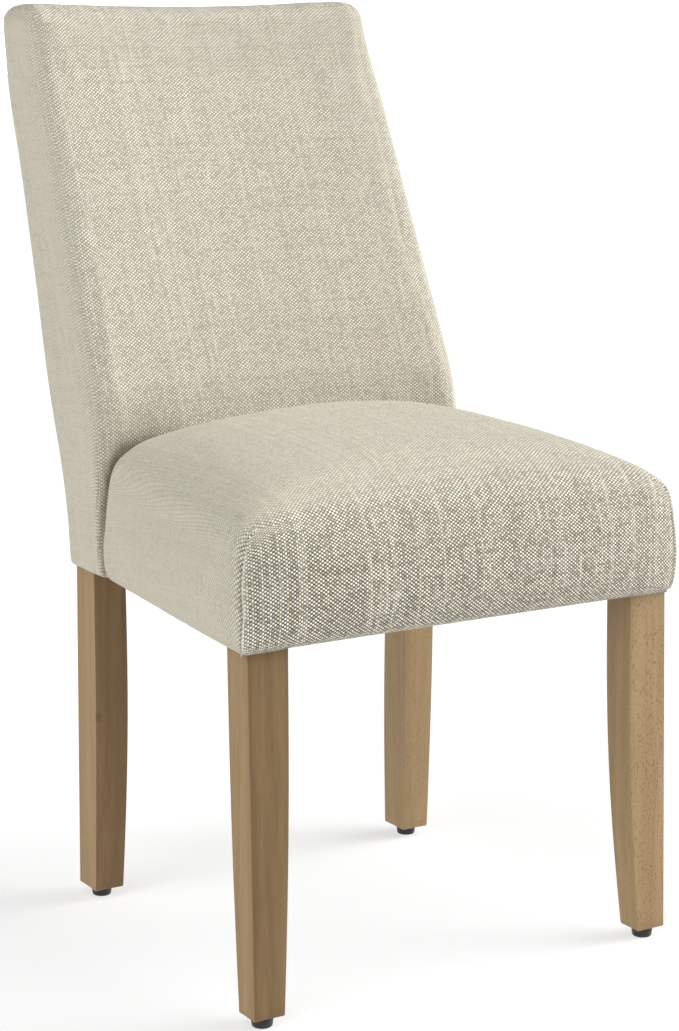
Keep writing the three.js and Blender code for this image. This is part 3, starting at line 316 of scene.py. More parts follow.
class Cup:
    """A cup-shaped cloth: a cap grid whose border runs on as rings. Its loops hold the cloth's coordinates,
    in metres, at each corner of each face. With level, the weave on the walls runs level."""

    def __init__(self, across, along, rings, point_at, wound=True, level=False):
        n, m = self.columns, self.rows = len(across), len(along)
        cap = point_at(*np.meshgrid(across, along), None)
        self.border = [(i, 0) for i in range(n - 1)] + [(n - 1, j) for j in range(m - 1)]
        self.border += [(i, m - 1) for i in range(n - 1, 0, -1)] + [(0, j) for j in range(m - 1, 0, -1)]
        self.corners = [0, n - 1, n + m - 2, 2 * n + m - 3, len(self.border)]
        bi, bj = np.array(self.border).T
        walls = [point_at(across[bi], along[bj], ring) for ring in rings]
        self.points = np.concatenate([cap.reshape(-1, 3), *walls])
        self.ring_rows = np.array([cap[bj, bi], *walls])
        below = np.arange(n * m, len(self.points)).reshape(len(rings), -1)
        self.ring_vertices = np.concatenate([[bj * n + bi], below])
        self.faces, self.loops = [], []
        cap_uv = self._cap_coordinates(cap)
        self._add_squares(np.arange(n * m).reshape(m, n), cap_uv, ((0, 0), (0, 1), (1, 1), (1, 0)))
        for ids, chart in self._wall_charts(cap_uv[bj, bi], level):
            self._add_squares(self.ring_vertices[:, ids], chart, ((0, 0), (1, 0), (1, 1), (0, 1)))
        if not wound:
            self.faces = [f[::-1] for f in self.faces]
            self.loops = [uv[::-1] for uv in self.loops]

    def _cap_coordinates(self, cap):
        """Lengths along the cap's rows and columns, from its middle lines."""
        u, v = lengths_along(cap, 1), lengths_along(cap, 0)
        u -= (u[:, (self.columns - 1) // 2] + u[:, self.columns // 2])[:, None] / 2
        v -= v[self.rows // 2][None, :]
        return np.stack([u, v], -1)

    def _wall_charts(self, edge, level):
        """For each of the four walls, its border points and its own coordinates."""
        rows = self.ring_rows
        drop = lengths_along(rows, 0)
        if level:
            middle = (self.columns - 1) // 2
            heights, falls = rows[::-1, middle, 2], drop[::-1, middle]
            order = np.argsort(heights)
            by_height = np.interp(rows[:, :, 2], heights[order], falls[order])
            below = np.maximum(rows[0, :, 2] - rows[:, :, 2], 0) / LEVEL_BELOW
            drop = mix(drop, by_height, smooth(below, 0, 1))
        charts = []
        for side in range(4):
            ids = np.arange(self.corners[side], self.corners[side + 1] + 1) % len(self.border)
            run = lengths_along(rows[:, ids], 1)
            middle = len(ids) // 2
            run = run - ((run[:, (len(ids) - 1) // 2] + run[:, middle]) / 2)[:, None]
            turn = 1 if side < 2 else -1
            if side % 2 == 0:
                chart = [turn * run, edge[ids, 1] - turn * drop[:, ids]]
            else:
                chart = [edge[ids, 0] + turn * drop[:, ids], turn * run + edge[ids[middle], 1]]
            charts.append((ids, np.stack(chart, -1)))
        return charts

    def _add_squares(self, ids, uv, corners):
        ids = ids.tolist()
        for a in range(len(ids) - 1):
            for b in range(len(ids[0]) - 1):
                self.faces.append([ids[a + i][b + j] for i, j in corners])
                self.loops.append([uv[a + i, b + j] for i, j in corners])


def tuned(thing, **settings):
    """Sets the thing's settings, and gives it back."""
    for key, value in settings.items():
        setattr(thing, key, value)
    return thing


def linked(name, mesh):
    obj = bpy.data.objects.new(name, mesh)
    bpy.context.scene.collection.objects.link(obj)
    return obj


def mesh_object(name, points, faces, loops=None):
    mesh = bpy.data.meshes.new(name)
    mesh.from_pydata([tuple(p) for p in points], [], faces)
    if loops is not None:
        layer = mesh.uv_layers.new(name="cloth")
        flat = np.array([uv for face in loops for uv in face], np.float32)
        layer.data.foreach_set("uv", flat.ravel())
    mesh.polygons.foreach_set("use_smooth", np.ones(len(faces), bool))
    return linked(name, mesh)


def add_point_values(obj, name, values):
    attribute = obj.data.attributes.new(name, "FLOAT", "POINT")
    attribute.data.foreach_set("value", np.asarray(values, np.float32))


def vectors(items, key):
    flat = np.empty(len(items) * 3, np.float32)
    items.foreach_get(key, flat)
    return flat.reshape(-1, 3).astype(float)


def positions(mesh):
    return vectors(mesh.vertices, "co")


def vertex_normals(mesh):
    return vectors(mesh.vertex_normals, "vector")


def move_vertices(mesh, points):
    mesh.vertices.foreach_set("co", points.astype(np.float32).ravel())


def bake_modifiers(obj):
    """Applies the object's modifiers to its mesh."""
    graph = bpy.context.evaluated_depsgraph_get()
    evaluated = obj.evaluated_get(graph)
    baked = bpy.data.meshes.new_from_object(evaluated, preserve_all_data_layers=True, depsgraph=graph)
    obj.modifiers.clear()
    old = obj.data
    obj.data = baked
    bpy.data.meshes.remove(old)
    baked.name = obj.name


# ---- The filling's pressure, as a cloth simulation ----
SIM_FRAMES = 20
CLOTH_SETTINGS = {
    "quality": 6, "mass": 0.4, "tension_stiffness": 25, "compression_stiffness": 25, "shear_stiffness": 12,
    "bending_stiffness": 6, "use_pressure": True, "vertex_group_mass": "pinned", "pin_stiffness": 1,
}


def fill_with_air(name, net, pinned_rings, pressure, cap):
    """How far a cover's filling presses its net out. The last rings are pinned. No point moves past cap."""
    scene = bpy.context.scene
    obj = mesh_object(name, net.points, net.faces)
    start = positions(obj.data)
    group = obj.vertex_groups.new(name="pinned")
    group.add(net.ring_vertices[-pinned_rings:].ravel().tolist(), 1.0, "REPLACE")
    cloth = obj.modifiers.new("cloth", "CLOTH")
    tuned(cloth.settings, uniform_pressure_force=pressure, **CLOTH_SETTINGS)
    cloth.settings.effector_weights.gravity = 0
    cloth.collision_settings.use_collision = False
    tuned(cloth.point_cache, frame_start=1, frame_end=SIM_FRAMES)
    for number in range(1, SIM_FRAMES + 1):
        scene.frame_set(number)
    evaluated = obj.evaluated_get(bpy.context.evaluated_depsgraph_get())
    moved = positions(evaluated.to_mesh()) - start
    evaluated.to_mesh_clear()
    scene.frame_set(1)
    obj.modifiers.remove(cloth)
    outward = vertex_normals(obj.data)
    along = np.sum(moved * outward, axis=1)
    moved += outward * (np.maximum(along, 0) - along)[:, None]
    length = np.linalg.norm(moved, axis=1)
    bpy.data.objects.remove(obj)
    print(f"{name} pushed out by up to {length.max() / MM:.1f} mm, on average {length.mean() / MM:.1f} mm")
    return moved * (cap * np.tanh(length / cap) / np.maximum(length, TINY))[:, None]


# ---- Procedural materials ----
class Nodes:
    """A material's node tree, with short ways to add the usual nodes."""

    def __init__(self, name):
        self.material = bpy.data.materials.new(name)
        self.material.use_nodes = True
        self.tree = self.material.node_tree
        self.tree.nodes.clear()
        output = self.tree.nodes.new("ShaderNodeOutputMaterial")
        self.shader = self.tree.nodes.new("ShaderNodeBsdfPrincipled")
        self.tree.links.new(self.shader.outputs[0], output.inputs[0])

    def put(self, socket, value):
        if isinstance(value, bpy.types.NodeSocket):
            self.tree.links.new(value, socket)
        else:
            socket.default_value = value

    def node(self, kind, **inputs):
        node = self.tree.nodes.new(f"ShaderNode{kind}")
        for key, value in inputs.items():
            self.put(node.inputs[key.replace("_", " ")], value)
        return node

    def math(self, operation, *values, clamp=False):
        node = tuned(self.node("Math"), operation=operation, use_clamp=clamp)
        for socket, value in zip(node.inputs, values):
            self.put(socket, value)
        return node.outputs[0]

    def plus(self, a, b, clamp=False):
        return self.math("ADD", a, b, clamp=clamp)

    def minus(self, a, b):
        return self.math("SUBTRACT", a, b)

    def times(self, a, b):
        return self.math("MULTIPLY", a, b)

    def line(self, value, start, slope):
        """Start, plus slope times the value."""
        return self.plus(self.times(value, slope), start)

    def swing(self, value, size):
        """A pattern from 0 to 1, made to swing about 0."""
        return self.times(self.minus(value, 0.5), size)

    def ramp01(self, value, start, end):
        """0 at start, 1 at end, smooth between."""
        node = self.node("MapRange", Value=value, From_Min=start, From_Max=end)
        return tuned(node, interpolation_type="SMOOTHSTEP").outputs[0]

    def share(self, value, start, end, most):
        """0 at start, most at end, smooth between."""
        return self.times(self.ramp01(value, start, end), most)

    def blend(self, factor, a, b, mode="MIX"):
        node = tuned(self.node("Mix"), data_type="RGBA", blend_type=mode)
        self.put(node.inputs["Factor"], factor)
        for key, value in (("A", a), ("B", b)):
            socket = next(s for s in node.inputs if s.name == key and s.type == "RGBA")
            self.put(socket, value if isinstance(value, bpy.types.NodeSocket) else (*value, 1))
        return next(s for s in node.outputs if s.type == "RGBA")

    def tinted(self, colour, factor, tint):
        """The colour, multiplied by the tint as far as the factor says."""
        return self.blend(factor, colour, self.blend(1.0, colour, tint, "MULTIPLY"))

    def noise(self, vector, scale, detail=2, roughness=0.5):
        node = self.node("TexNoise", Vector=vector, Scale=scale, Detail=detail, Roughness=roughness)
        return node.outputs["Fac"]

    def cells(self, vector, scale):
        return self.node("TexVoronoi", Vector=vector, Scale=scale).outputs["Distance"]

    def random(self, vector):
        return self.node("TexWhiteNoise", Vector=vector).outputs["Value"]

    def vector(self, x=0.0, y=0.0, z=0.0):
        return self.node("CombineXYZ", X=x, Y=y, Z=z).outputs[0]

    def split(self, vector):
        return tuple(self.node("SeparateXYZ", Vector=vector).outputs)

    def coordinates(self):
        return self.node("TexCoord").outputs["Object"]

    def uv(self, name):
        return tuned(self.node("UVMap"), uv_map=name).outputs[0]

    def attribute(self, name, output="Fac"):
        return tuned(self.node("Attribute"), attribute_name=name).outputs[output]

    def bump(self, height, distance, strength):
        return self.node("Bump", Height=height, Distance=distance, Strength=strength).outputs[0]

    def finish(self, colour, roughness, normal=None, **fixed):
        colour = colour if isinstance(colour, bpy.types.NodeSocket) else (*colour, 1)
        self.put(self.shader.inputs["Base Color"], colour)
        self.put(self.shader.inputs["Roughness"], roughness)
        if normal is not None:
            self.put(self.shader.inputs["Normal"], normal)
        for key, value in fixed.items():
            self.shader.inputs[key.replace("_", " ")].default_value = value
        return self.material


# ---- Linen ----
WARP_PITCH = 2.28 * MM
WEFT_PITCH = 1.74 * MM
YARN_WANDER, WANDER_SCALE = 1.5 * MM, 80
# each colour where the cloth lies loose and where it is drawn tight; the tight weft and pits are near black,
# painted shade in the weave's gaps
WARP_COLOURS = (0.69, 0.65, 0.530), (1.0, 0.965, 0.84)
WEFT_COLOURS = (0.56, 0.522, 0.42), (0.115, 0.088, 0.048)
PIT_COLOURS = (0.38, 0.345, 0.26), (0.03, 0.021, 0.012)
THIN_COLOUR, PATCH_COLOUR = (0.34, 0.30, 0.225), (0.42, 0.38, 0.30)
# the crease colour is painted shade: in the valleys beside the seat's seams and in the back's crevice with
# the seat
CREASE_SHADE_COLOUR, SEAM_HIGHLIGHT_COLOUR = (0.10, 0.08, 0.055), (0.80, 0.76, 0.65)
# the pale colour for the seam's ridge is a painted highlight
CREASE_SHADE_SHARE, SEAM_HIGHLIGHT_SHARE, THIN_SHARE = 0.55, 0.7, 0.11
# streaks of tighter cloth: how they are drawn out, their scale and strength, and how loose the cloth is there
STREAK_STRETCH, STREAK_SCALE, STREAKS, STREAKS_SHOW = (0.7, 4.0), 48, (0.42, 0.68, 0.2), (0.35, 0.05)
# how fast a yarn's thickness changes along it, which yarns are slubs and which are thin
YARN_CHANGE, SLUB, THIN = 16.0, (0.63, 0.78), (0.36, 0.24)
# how high a yarn's round is, how much it rises where it crosses over, and how much a slub adds
ROUND_HEIGHT, CROSSING_HEIGHT, SLUB_HEIGHT = 0.55, 0.45, 0.25
WARP_OVER = (-0.24, 0.10)
# which random tones show, from where to where, and how strongly
PALE_COLUMNS, DARK_COLUMNS, DARK_ROWS = (0.7, 1.0, 0.20), (0.35, 0.0, 0.15), (0.3, 0.0, 0.18)
DARK_SPECKS, PITTED_SPECKS, PATCHES = (0.7, 1.0, 0.5), (0.3, 0.0), (0.3, 0.7, 0.03)
SLUB_WEFT_PALE, SLUB_WARP_PALE = 0.22, 0.18
# loose and tight, where tightness also carries painted shade: how far the pits between the yarns open, and
# how strongly the pitted specks show
PIT_OPENING, PIT_SPECKS = (0.28, 0.40), (0.14, 0.38)
PIT_DEPTH, PIT_EDGE = 0.35, 0.32
FIBRE_SCALE, FIBRE_HEIGHT, WEAVE_HEIGHT = 2600, 0.15, 0.45 * MM
# a surface's least roughness, and how much its pattern adds
LINEN_ROUGHNESS, WOOD_ROUGHNESS = (0.86, 0.12), (0.55, 0.16)
PLASTIC_ROUGHNESS, ZINC_ROUGHNESS = (0.38, 0.25), (0.28, 0.25)
LINEN_SHEEN = {"Specular_IOR_Level": 0.2, "Sheen_Weight": 0.06, "Sheen_Roughness": 0.45}


def linen(name):
    """A coarse plain weave in the cloth's own coordinates. Where the cloth is pulled tight its gaps open, and
    its gaps and weft darken as painted shade.
    """
    n = Nodes(name)
    cloth = n.uv("cloth")
    u, v, _ = n.split(cloth)
    stored_tight_and_shade = n.attribute("tight_and_shade")
    streaks = n.vector(*(n.times(c, stretch) for c, stretch in zip((u, v), STREAK_STRETCH)))
    uneven = n.share(n.noise(streaks, STREAK_SCALE, 3, 0.6), *STREAKS)
    tight_and_shade = n.plus(stored_tight_and_shade, n.times(uneven, n.ramp01(stored_tight_and_shade, *STREAKS_SHOW)), clamp=True)

    def yarns(run, seen_from, pitch):
        """Each yarn's number, and a half wave across it."""
        wander = n.swing(n.noise(seen_from, WANDER_SCALE, 4, 0.75), YARN_WANDER)
        place = n.math("DIVIDE", n.plus(run, wander), pitch)
        number = n.math("FLOOR", place)
        return number, n.math("SINE", n.times(n.minus(place, number), math.pi))

    column, across = yarns(u, cloth, WARP_PITCH)
    row, along = yarns(v, n.vector(v, u), WEFT_PITCH)
    sign = n.line(n.math("FLOORED_MODULO", n.plus(column, row), 2.0), 1.0, -2.0)
    # the plain numbers in the vectors below only keep the random patterns apart
    warp_line = n.noise(n.vector(n.times(column, 0.731), n.times(v, YARN_CHANGE)), 1.0, 1)
    weft_line = n.noise(n.vector(n.times(u, YARN_CHANGE), n.times(row, 0.613), 7.7), 1.0, 1)
    slub_warp, slub_weft = n.ramp01(warp_line, *SLUB), n.ramp01(weft_line, *SLUB)
    thin_yarn = n.math("MAXIMUM", n.ramp01(warp_line, *THIN), n.ramp01(weft_line, *THIN))
    warp_high = n.plus(n.times(across, ROUND_HEIGHT), n.times(n.times(sign, along), CROSSING_HEIGHT))
    weft_high = n.minus(n.times(along, ROUND_HEIGHT), n.times(n.times(sign, across), CROSSING_HEIGHT))
    warp_high = n.plus(warp_high, n.times(slub_warp, SLUB_HEIGHT))
    weft_high = n.plus(weft_high, n.times(slub_weft, SLUB_HEIGHT))
    height = n.math("MAXIMUM", warp_high, weft_high)

    # the tight colours hold painted shade: near black weft and gaps, strongest where faces turn forwards
    warp, weft, pit = (n.blend(tight_and_shade, *pair) for pair in (WARP_COLOURS, WEFT_COLOURS, PIT_COLOURS))
    speck = n.random(n.vector(column, row, 5.0))
    column_tone, row_tone = n.random(n.vector(column, 3.0)), n.random(n.vector(row, 11.0))
    weft = n.blend(n.times(slub_weft, SLUB_WEFT_PALE), weft, warp)
    weft = n.blend(n.times(slub_warp, SLUB_WARP_PALE), weft, warp)
    weft = n.blend(n.share(column_tone, *PALE_COLUMNS), weft, warp)
    warp = n.blend(n.share(column_tone, *DARK_COLUMNS), warp, weft)
    warp = n.blend(n.share(row_tone, *DARK_ROWS), warp, weft)
    yarn = n.blend(n.ramp01(n.minus(warp_high, weft_high), *WARP_OVER), weft, warp)
    yarn = n.blend(n.share(speck, *DARK_SPECKS), yarn, weft)
    yarn = n.blend(n.share(speck, *PITTED_SPECKS, n.line(tight_and_shade, *PIT_SPECKS)), yarn, pit)
    opening = n.times(n.line(tight_and_shade, *PIT_OPENING), PIT_DEPTH)
    colour = n.blend(n.ramp01(n.minus(height, opening), 0.0, PIT_EDGE), pit, yarn)
    colour = n.blend(n.times(thin_yarn, THIN_SHARE), colour, THIN_COLOUR)
    colour = n.blend(n.share(n.noise(cloth, 9, 3), *PATCHES), colour, PATCH_COLOUR)
    # painted shade in the seams' valleys and in the back's crevice with the seat
    colour = n.blend(n.times(n.attribute("crease_shade"), CREASE_SHADE_SHARE), colour, CREASE_SHADE_COLOUR)
    # a painted highlight along the seam's ridge
    colour = n.blend(n.times(n.attribute("ridge_and_highlight"), SEAM_HIGHLIGHT_SHARE), colour, SEAM_HIGHLIGHT_COLOUR)
    fibre = n.noise(cloth, FIBRE_SCALE, 2, 0.7)
    normal = n.bump(n.plus(height, n.times(fibre, FIBRE_HEIGHT)), WEAVE_HEIGHT, 0.9)
    return n.finish(colour, n.line(fibre, *LINEN_ROUGHNESS), normal, **LINEN_SHEEN)


# ---- Wood ----
# how often a pattern changes across the grain and along it, how fine it is and how rough
BROAD, FINE = (55.0, 1.6, 3, 0.55), (430.0, 7.0, 3, 0.55)
PORE, FLECK = (1700.0, 75.0, 2, 0.65), (700.0, 330.0, 2, 0.6)
# where a pattern starts to darken the wood, where it is full, and how strong it is then
FINE_SHARE, PORE_SHARE, FLECK_SHARE = (0.45, 0.8, 0.45), (0.58, 0.74, 0.4), (0.56, 0.68)
FINE_TINT, PORE_TINT, FLECK_TINT = (0.66, 0.60, 0.52), (0.55, 0.48, 0.40), (0.52, 0.45, 0.37)
HALO_TINT, KNOT_COLOUR = (0.62, 0.52, 0.42), (0.06, 0.035, 0.018)
# in radii of a knot: its core and the halo round it, each with its strength. Knots are longer along the grain
KNOT_CORE, KNOT_HALO, KNOT_STRETCH = (1.0, 0.35, 0.75), (2.2, 0.9, 0.45), (1.0, 1.0, 0.6)
KNOT_WOBBLE, FLECK_STRENGTH = 0.8, 0.9
GRAIN_BEND, GRAIN_BEND_SCALE = 0.012, 7
# how strong the broad bands are, and how pale and flecked wood is that stores no values of its own
LEG_BANDS, FRAME_BANDS, FRAME_PALENESS, FRAME_FLECKS = 1.1, 1.6, 0.6, 0.1


def timber(name, pale, deep, grain_axis="z", stored=False, knots=()):
    """Straight-grained wood: faint broad bands, fine streaks, pores and flecks. Legs store their own
    coordinates, and their faces' paleness and flecks."""
    n = Nodes(name)
    x, y, z = n.split(n.attribute("grain", "Vector") if stored else n.coordinates())
    if grain_axis == "x":
        x, y, z = y, z, x
    elif grain_axis == "y":
        x, y, z = z, x, y
    bend = n.swing(n.noise(n.vector(x, y, z), GRAIN_BEND_SCALE, 1), GRAIN_BEND)
    bent_x, bent_y = n.plus(x, bend), n.plus(y, bend)

    def pattern(across, along, detail, roughness):
        place = n.vector(n.times(bent_x, across), n.times(bent_y, across), n.times(z, along))
        return n.noise(place, 1.0, detail, roughness)

    broad, fine, pore, fleck = (pattern(*settings) for settings in (BROAD, FINE, PORE, FLECK))
    bands = n.swing(broad, LEG_BANDS if stored else FRAME_BANDS)
    paleness = n.attribute("face_paleness") if stored else FRAME_PALENESS
    colour = n.blend(n.plus(bands, paleness, clamp=True), deep, pale)
    colour = n.tinted(colour, n.share(fine, *FINE_SHARE), FINE_TINT)
    colour = n.tinted(colour, n.share(pore, *PORE_SHARE), PORE_TINT)
    flecks = n.share(fleck, *FLECK_SHARE, n.attribute("flecks") if stored else FRAME_FLECKS)
    colour = n.tinted(colour, n.times(flecks, FLECK_STRENGTH), FLECK_TINT)
    for centre, radius in knots:
        steps = [n.times(n.minus(c, at), k / radius) for c, at, k in zip((x, y, z), centre, KNOT_STRETCH)]
        squares = [n.times(step, step) for step in steps]
        away = n.math("SQRT", n.plus(n.plus(squares[0], squares[1]), squares[2]))
        away = n.plus(away, n.swing(fine, KNOT_WOBBLE))
        colour = n.tinted(colour, n.share(away, *KNOT_HALO), HALO_TINT)
        colour = n.blend(n.share(away, *KNOT_CORE), colour, KNOT_COLOUR)
    relief = n.minus(n.times(fine, 0.5), n.share(pore, 0.6, 0.8, 0.6))
    normal = n.bump(relief, 0.1 * MM, 0.5)
    return n.finish(colour, n.line(fine, *WOOD_ROUGHNESS), normal, Specular_IOR_Level=0.35)


# ---- Other materials ----
def felt(name, base, fleck, scale, roughness=0.95, relief=0.4 * MM):
    """Loose fibres or open cells in object coordinates, for foam, wadding, hardboard and the dust sheet."""
    n = Nodes(name)
    place = n.coordinates()
    cells = n.cells(place, scale)
    cloud = n.noise(place, scale * 0.12, 3)
    colour = n.blend(n.ramp01(cells, 0.1, 0.7), fleck, base)
    colour = n.blend(n.ramp01(cloud, 0.3, 0.75), tuple(c * 0.9 for c in base), colour)
    roughness = n.line(cloud, roughness - 0.1, 0.12)
    return n.finish(colour, roughness, n.bump(cells, relief, 0.7), Specular_IOR_Level=0.15)


def moulded(name, base):
    """Fine-grained black plastic with paler scuffs."""
    n = Nodes(name)
    place = n.coordinates()
    grain = n.noise(place, 1600, 2)
    scuff = n.ramp01(n.noise(place, 120, 4, 0.7), 0.55, 0.72)
    colour = n.blend(n.times(scuff, 0.35), base, tuple(c * 2.6 for c in base))
    normal = n.bump(grain, 0.05 * MM, 0.5)
    return n.finish(colour, n.line(scuff, *PLASTIC_ROUGHNESS), normal, Specular_IOR_Level=0.5)


def zinc(name):
    """Zinc-plated steel with faint spangles and duller stains."""
    n = Nodes(name)
    place = n.coordinates()
    spangle = n.cells(place, 900)
    colour = n.blend(n.ramp01(n.noise(place, 200, 3), 0.35, 0.7), (0.50, 0.50, 0.47), (0.66, 0.67, 0.68))
    normal = n.bump(spangle, 0.03 * MM, 0.5)
    return n.finish(colour, n.line(spangle, *ZINC_ROUGHNESS), normal, Metallic=0.95)


LINEN = linen("linen_weave")
GRAIN_SHIFT = np.array([0.37, 0.61, 0.83])
# which leg each knot is in, by the leg's seed, where it is, and its radius
LEG_KNOTS = [
    (4, (-0.202, 0.083, 0.052), 3.2 * MM),
    (4, (-0.199, 0.0815, 0.196), 2.4 * MM),
    (2, (-0.215, -0.274, 0.31), 1.6 * MM),
]
LEG_WOOD = timber(
    "leg_wood", (0.412, 0.278, 0.140), (0.180, 0.108, 0.044), stored=True,
    knots=[(tuple(GRAIN_SHIFT * seed + np.array(at)), radius) for seed, at, radius in LEG_KNOTS],
)
BEECH_X = timber("beech_across", (0.68, 0.50, 0.31), (0.50, 0.34, 0.20), "x")
BEECH_Y = timber("beech_along", (0.68, 0.50, 0.31), (0.50, 0.34, 0.20), "y")
PLY = timber("birch_ply", (0.66, 0.50, 0.33), (0.54, 0.40, 0.25), "x")
HARDBOARD = felt("hardboard_fibre", (0.20, 0.115, 0.06), (0.13, 0.07, 0.035), 700, 0.8)
FOAM = felt("foam_cells", (0.80, 0.74, 0.50), (0.66, 0.58, 0.35), 900)
WADDING = felt("wadding_fibre", (0.82, 0.82, 0.80), (0.68, 0.68, 0.66), 300)
DUST_CLOTH = felt("dust_cloth", (0.018, 0.018, 0.02), (0.008, 0.008, 0.009), 1400, 0.95, 0.15 * MM)
GLIDE_BLACK = moulded("glide_plastic", (0.012, 0.012, 0.012))
ZINC = zinc("zinc_plate")


def dress(obj, material):
    obj.data.materials.clear()
    obj.data.materials.append(material)


def settle_piece(obj, material, node):
    """Gives a piece its material and slot, and puts it in the CAD node's place."""
    dress(obj, material)
    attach(obj, "root")
    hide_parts(node)


def make_finer(obj):
    finer = obj.modifiers.new("finer", "SUBSURF")
    tuned(finer, levels=1, render_levels=1, boundary_smooth="PRESERVE_CORNERS")
    bake_modifiers(obj)


def settle_cover(obj, node):
    """Gives a cover's net the fabric's thickness, inwards, and puts it in the CAD node's place."""
    tuned(obj.modifiers.new("cloth thickness", "SOLIDIFY"), thickness=FABRIC, offset=-1)
    settle_piece(obj, LINEN, node)


# ---- Seat ----
# cells over the start roll, the middle and the end roll, and over the edge and down the wall
SEAT_ACROSS_CELLS, SEAT_ALONG_CELLS, SEAT_ROLL_CELLS, SEAT_WALL_CELLS = (14, 20, 14), (8, 18, 10), 10, 12
WALL_SPREAD = 1.5
# the hem's folds and the two rings above them
SEAT_PINNED_RINGS = len(SEAT_HEM_FOLDS) + 2
# how tight the cloth is drawn at the left and at the right, where it faces forwards and where it faces up
# this tightness also paints shade into the weave's gaps: most on faces turned forwards, there more at the
# left
TIGHT_AND_SHADE_FRONT, TIGHT_AND_SHADE_TOP, TIGHT_AND_SHADE_TOP_REACH = (1.0, 0.88), (0.12, 0.50), 1.4
TIGHT_BESIDE_SEAM, TIGHT_SEAM_REACH = 0.3, 30 * MM
STEEPEST = 0.05


def folded_under(row, reach, lift_share):
    """The hem's next line: drawn in under the frame, and less far where a leg stands in its way."""
    along = np.roll(row, -1, 0) - np.roll(row, 1, 0)
    inward = np.stack([-along[:, 1], along[:, 0], 0 * along[:, 0]], -1)
    inward /= np.linalg.norm(inward, axis=1)[:, None]
    x, y = np.abs(row[:, 0]), row[:, 1]
    leg_inner, leg_outer, leg_front, leg_rear = LEG_FRONT_BOX
    beside_leg = (x > leg_inner - HEM_CLEARANCE) & (y < leg_rear + HEM_CLEARANCE)
    room = np.where(y < leg_front, leg_front - y, x - leg_outer) - GAP
    limit = np.where(beside_leg, np.minimum(reach, room), reach)
    moved = row + inward * limit[:, None]
    moved[:, 2] = CLEAR_HEIGHT + (row[:, 2] - CLEAR_HEIGHT) * lift_share
    return moved


def border_place(cup, across, along):
    """Each border point's place on the loop: one unit for each of the four sides."""
    place = []
    for k, (i, j) in enumerate(cup.border):
        side = sum(k >= c for c in cup.corners[1:4])
        place.append(side + (across[i], along[j], 1 - across[i], 1 - along[j])[side])
    return np.array(place)


def carried_over(coarse, moved, fine, coarse_grid, fine_grid):
    """The coarse net's movement, read at the fine net's points."""
    size = coarse.columns * coarse.rows
    cap = moved[:size].reshape(coarse.rows, coarse.columns, 3)
    from_u, from_v, to_u, to_v = *coarse_grid, *fine_grid
    wide = np.array([[np.interp(to_u, from_u, row[:, c]) for c in range(3)] for row in cap])
    full = np.array([[np.interp(to_v, from_v, wide[:, c, i]) for c in range(3)] for i in range(len(to_u))])
    parts = [full.transpose(2, 0, 1).reshape(-1, 3)]
    start, end = border_place(coarse, *coarse_grid), border_place(fine, *fine_grid)
    for ring in moved[size:].reshape(-1, len(coarse.border), 3):
        parts.append(np.stack([np.interp(end, start, ring[:, c], period=4) for c in range(3)], -1))
    return np.concatenate(parts)


def seam_distance(cup):
    """Each vertex's way along its ring from the nearer front corner's seam, negative on the side walls."""
    count = len(cup.border)
    parts = [np.full(cup.columns * cup.rows, 1.0)]
    on_side = np.where(np.arange(count) < cup.columns, 1, -1)
    for row in cup.ring_rows[1:]:
        place = lengths_along(np.append(row, row[:1], 0), 0)
        half = place[-1] / 2
        gaps = [np.abs((place[:count] - place[c] + half) % place[-1] - half) for c in (0, cup.columns - 1)]
        parts.append(np.minimum(*gaps) * on_side)
    return np.concatenate(parts)


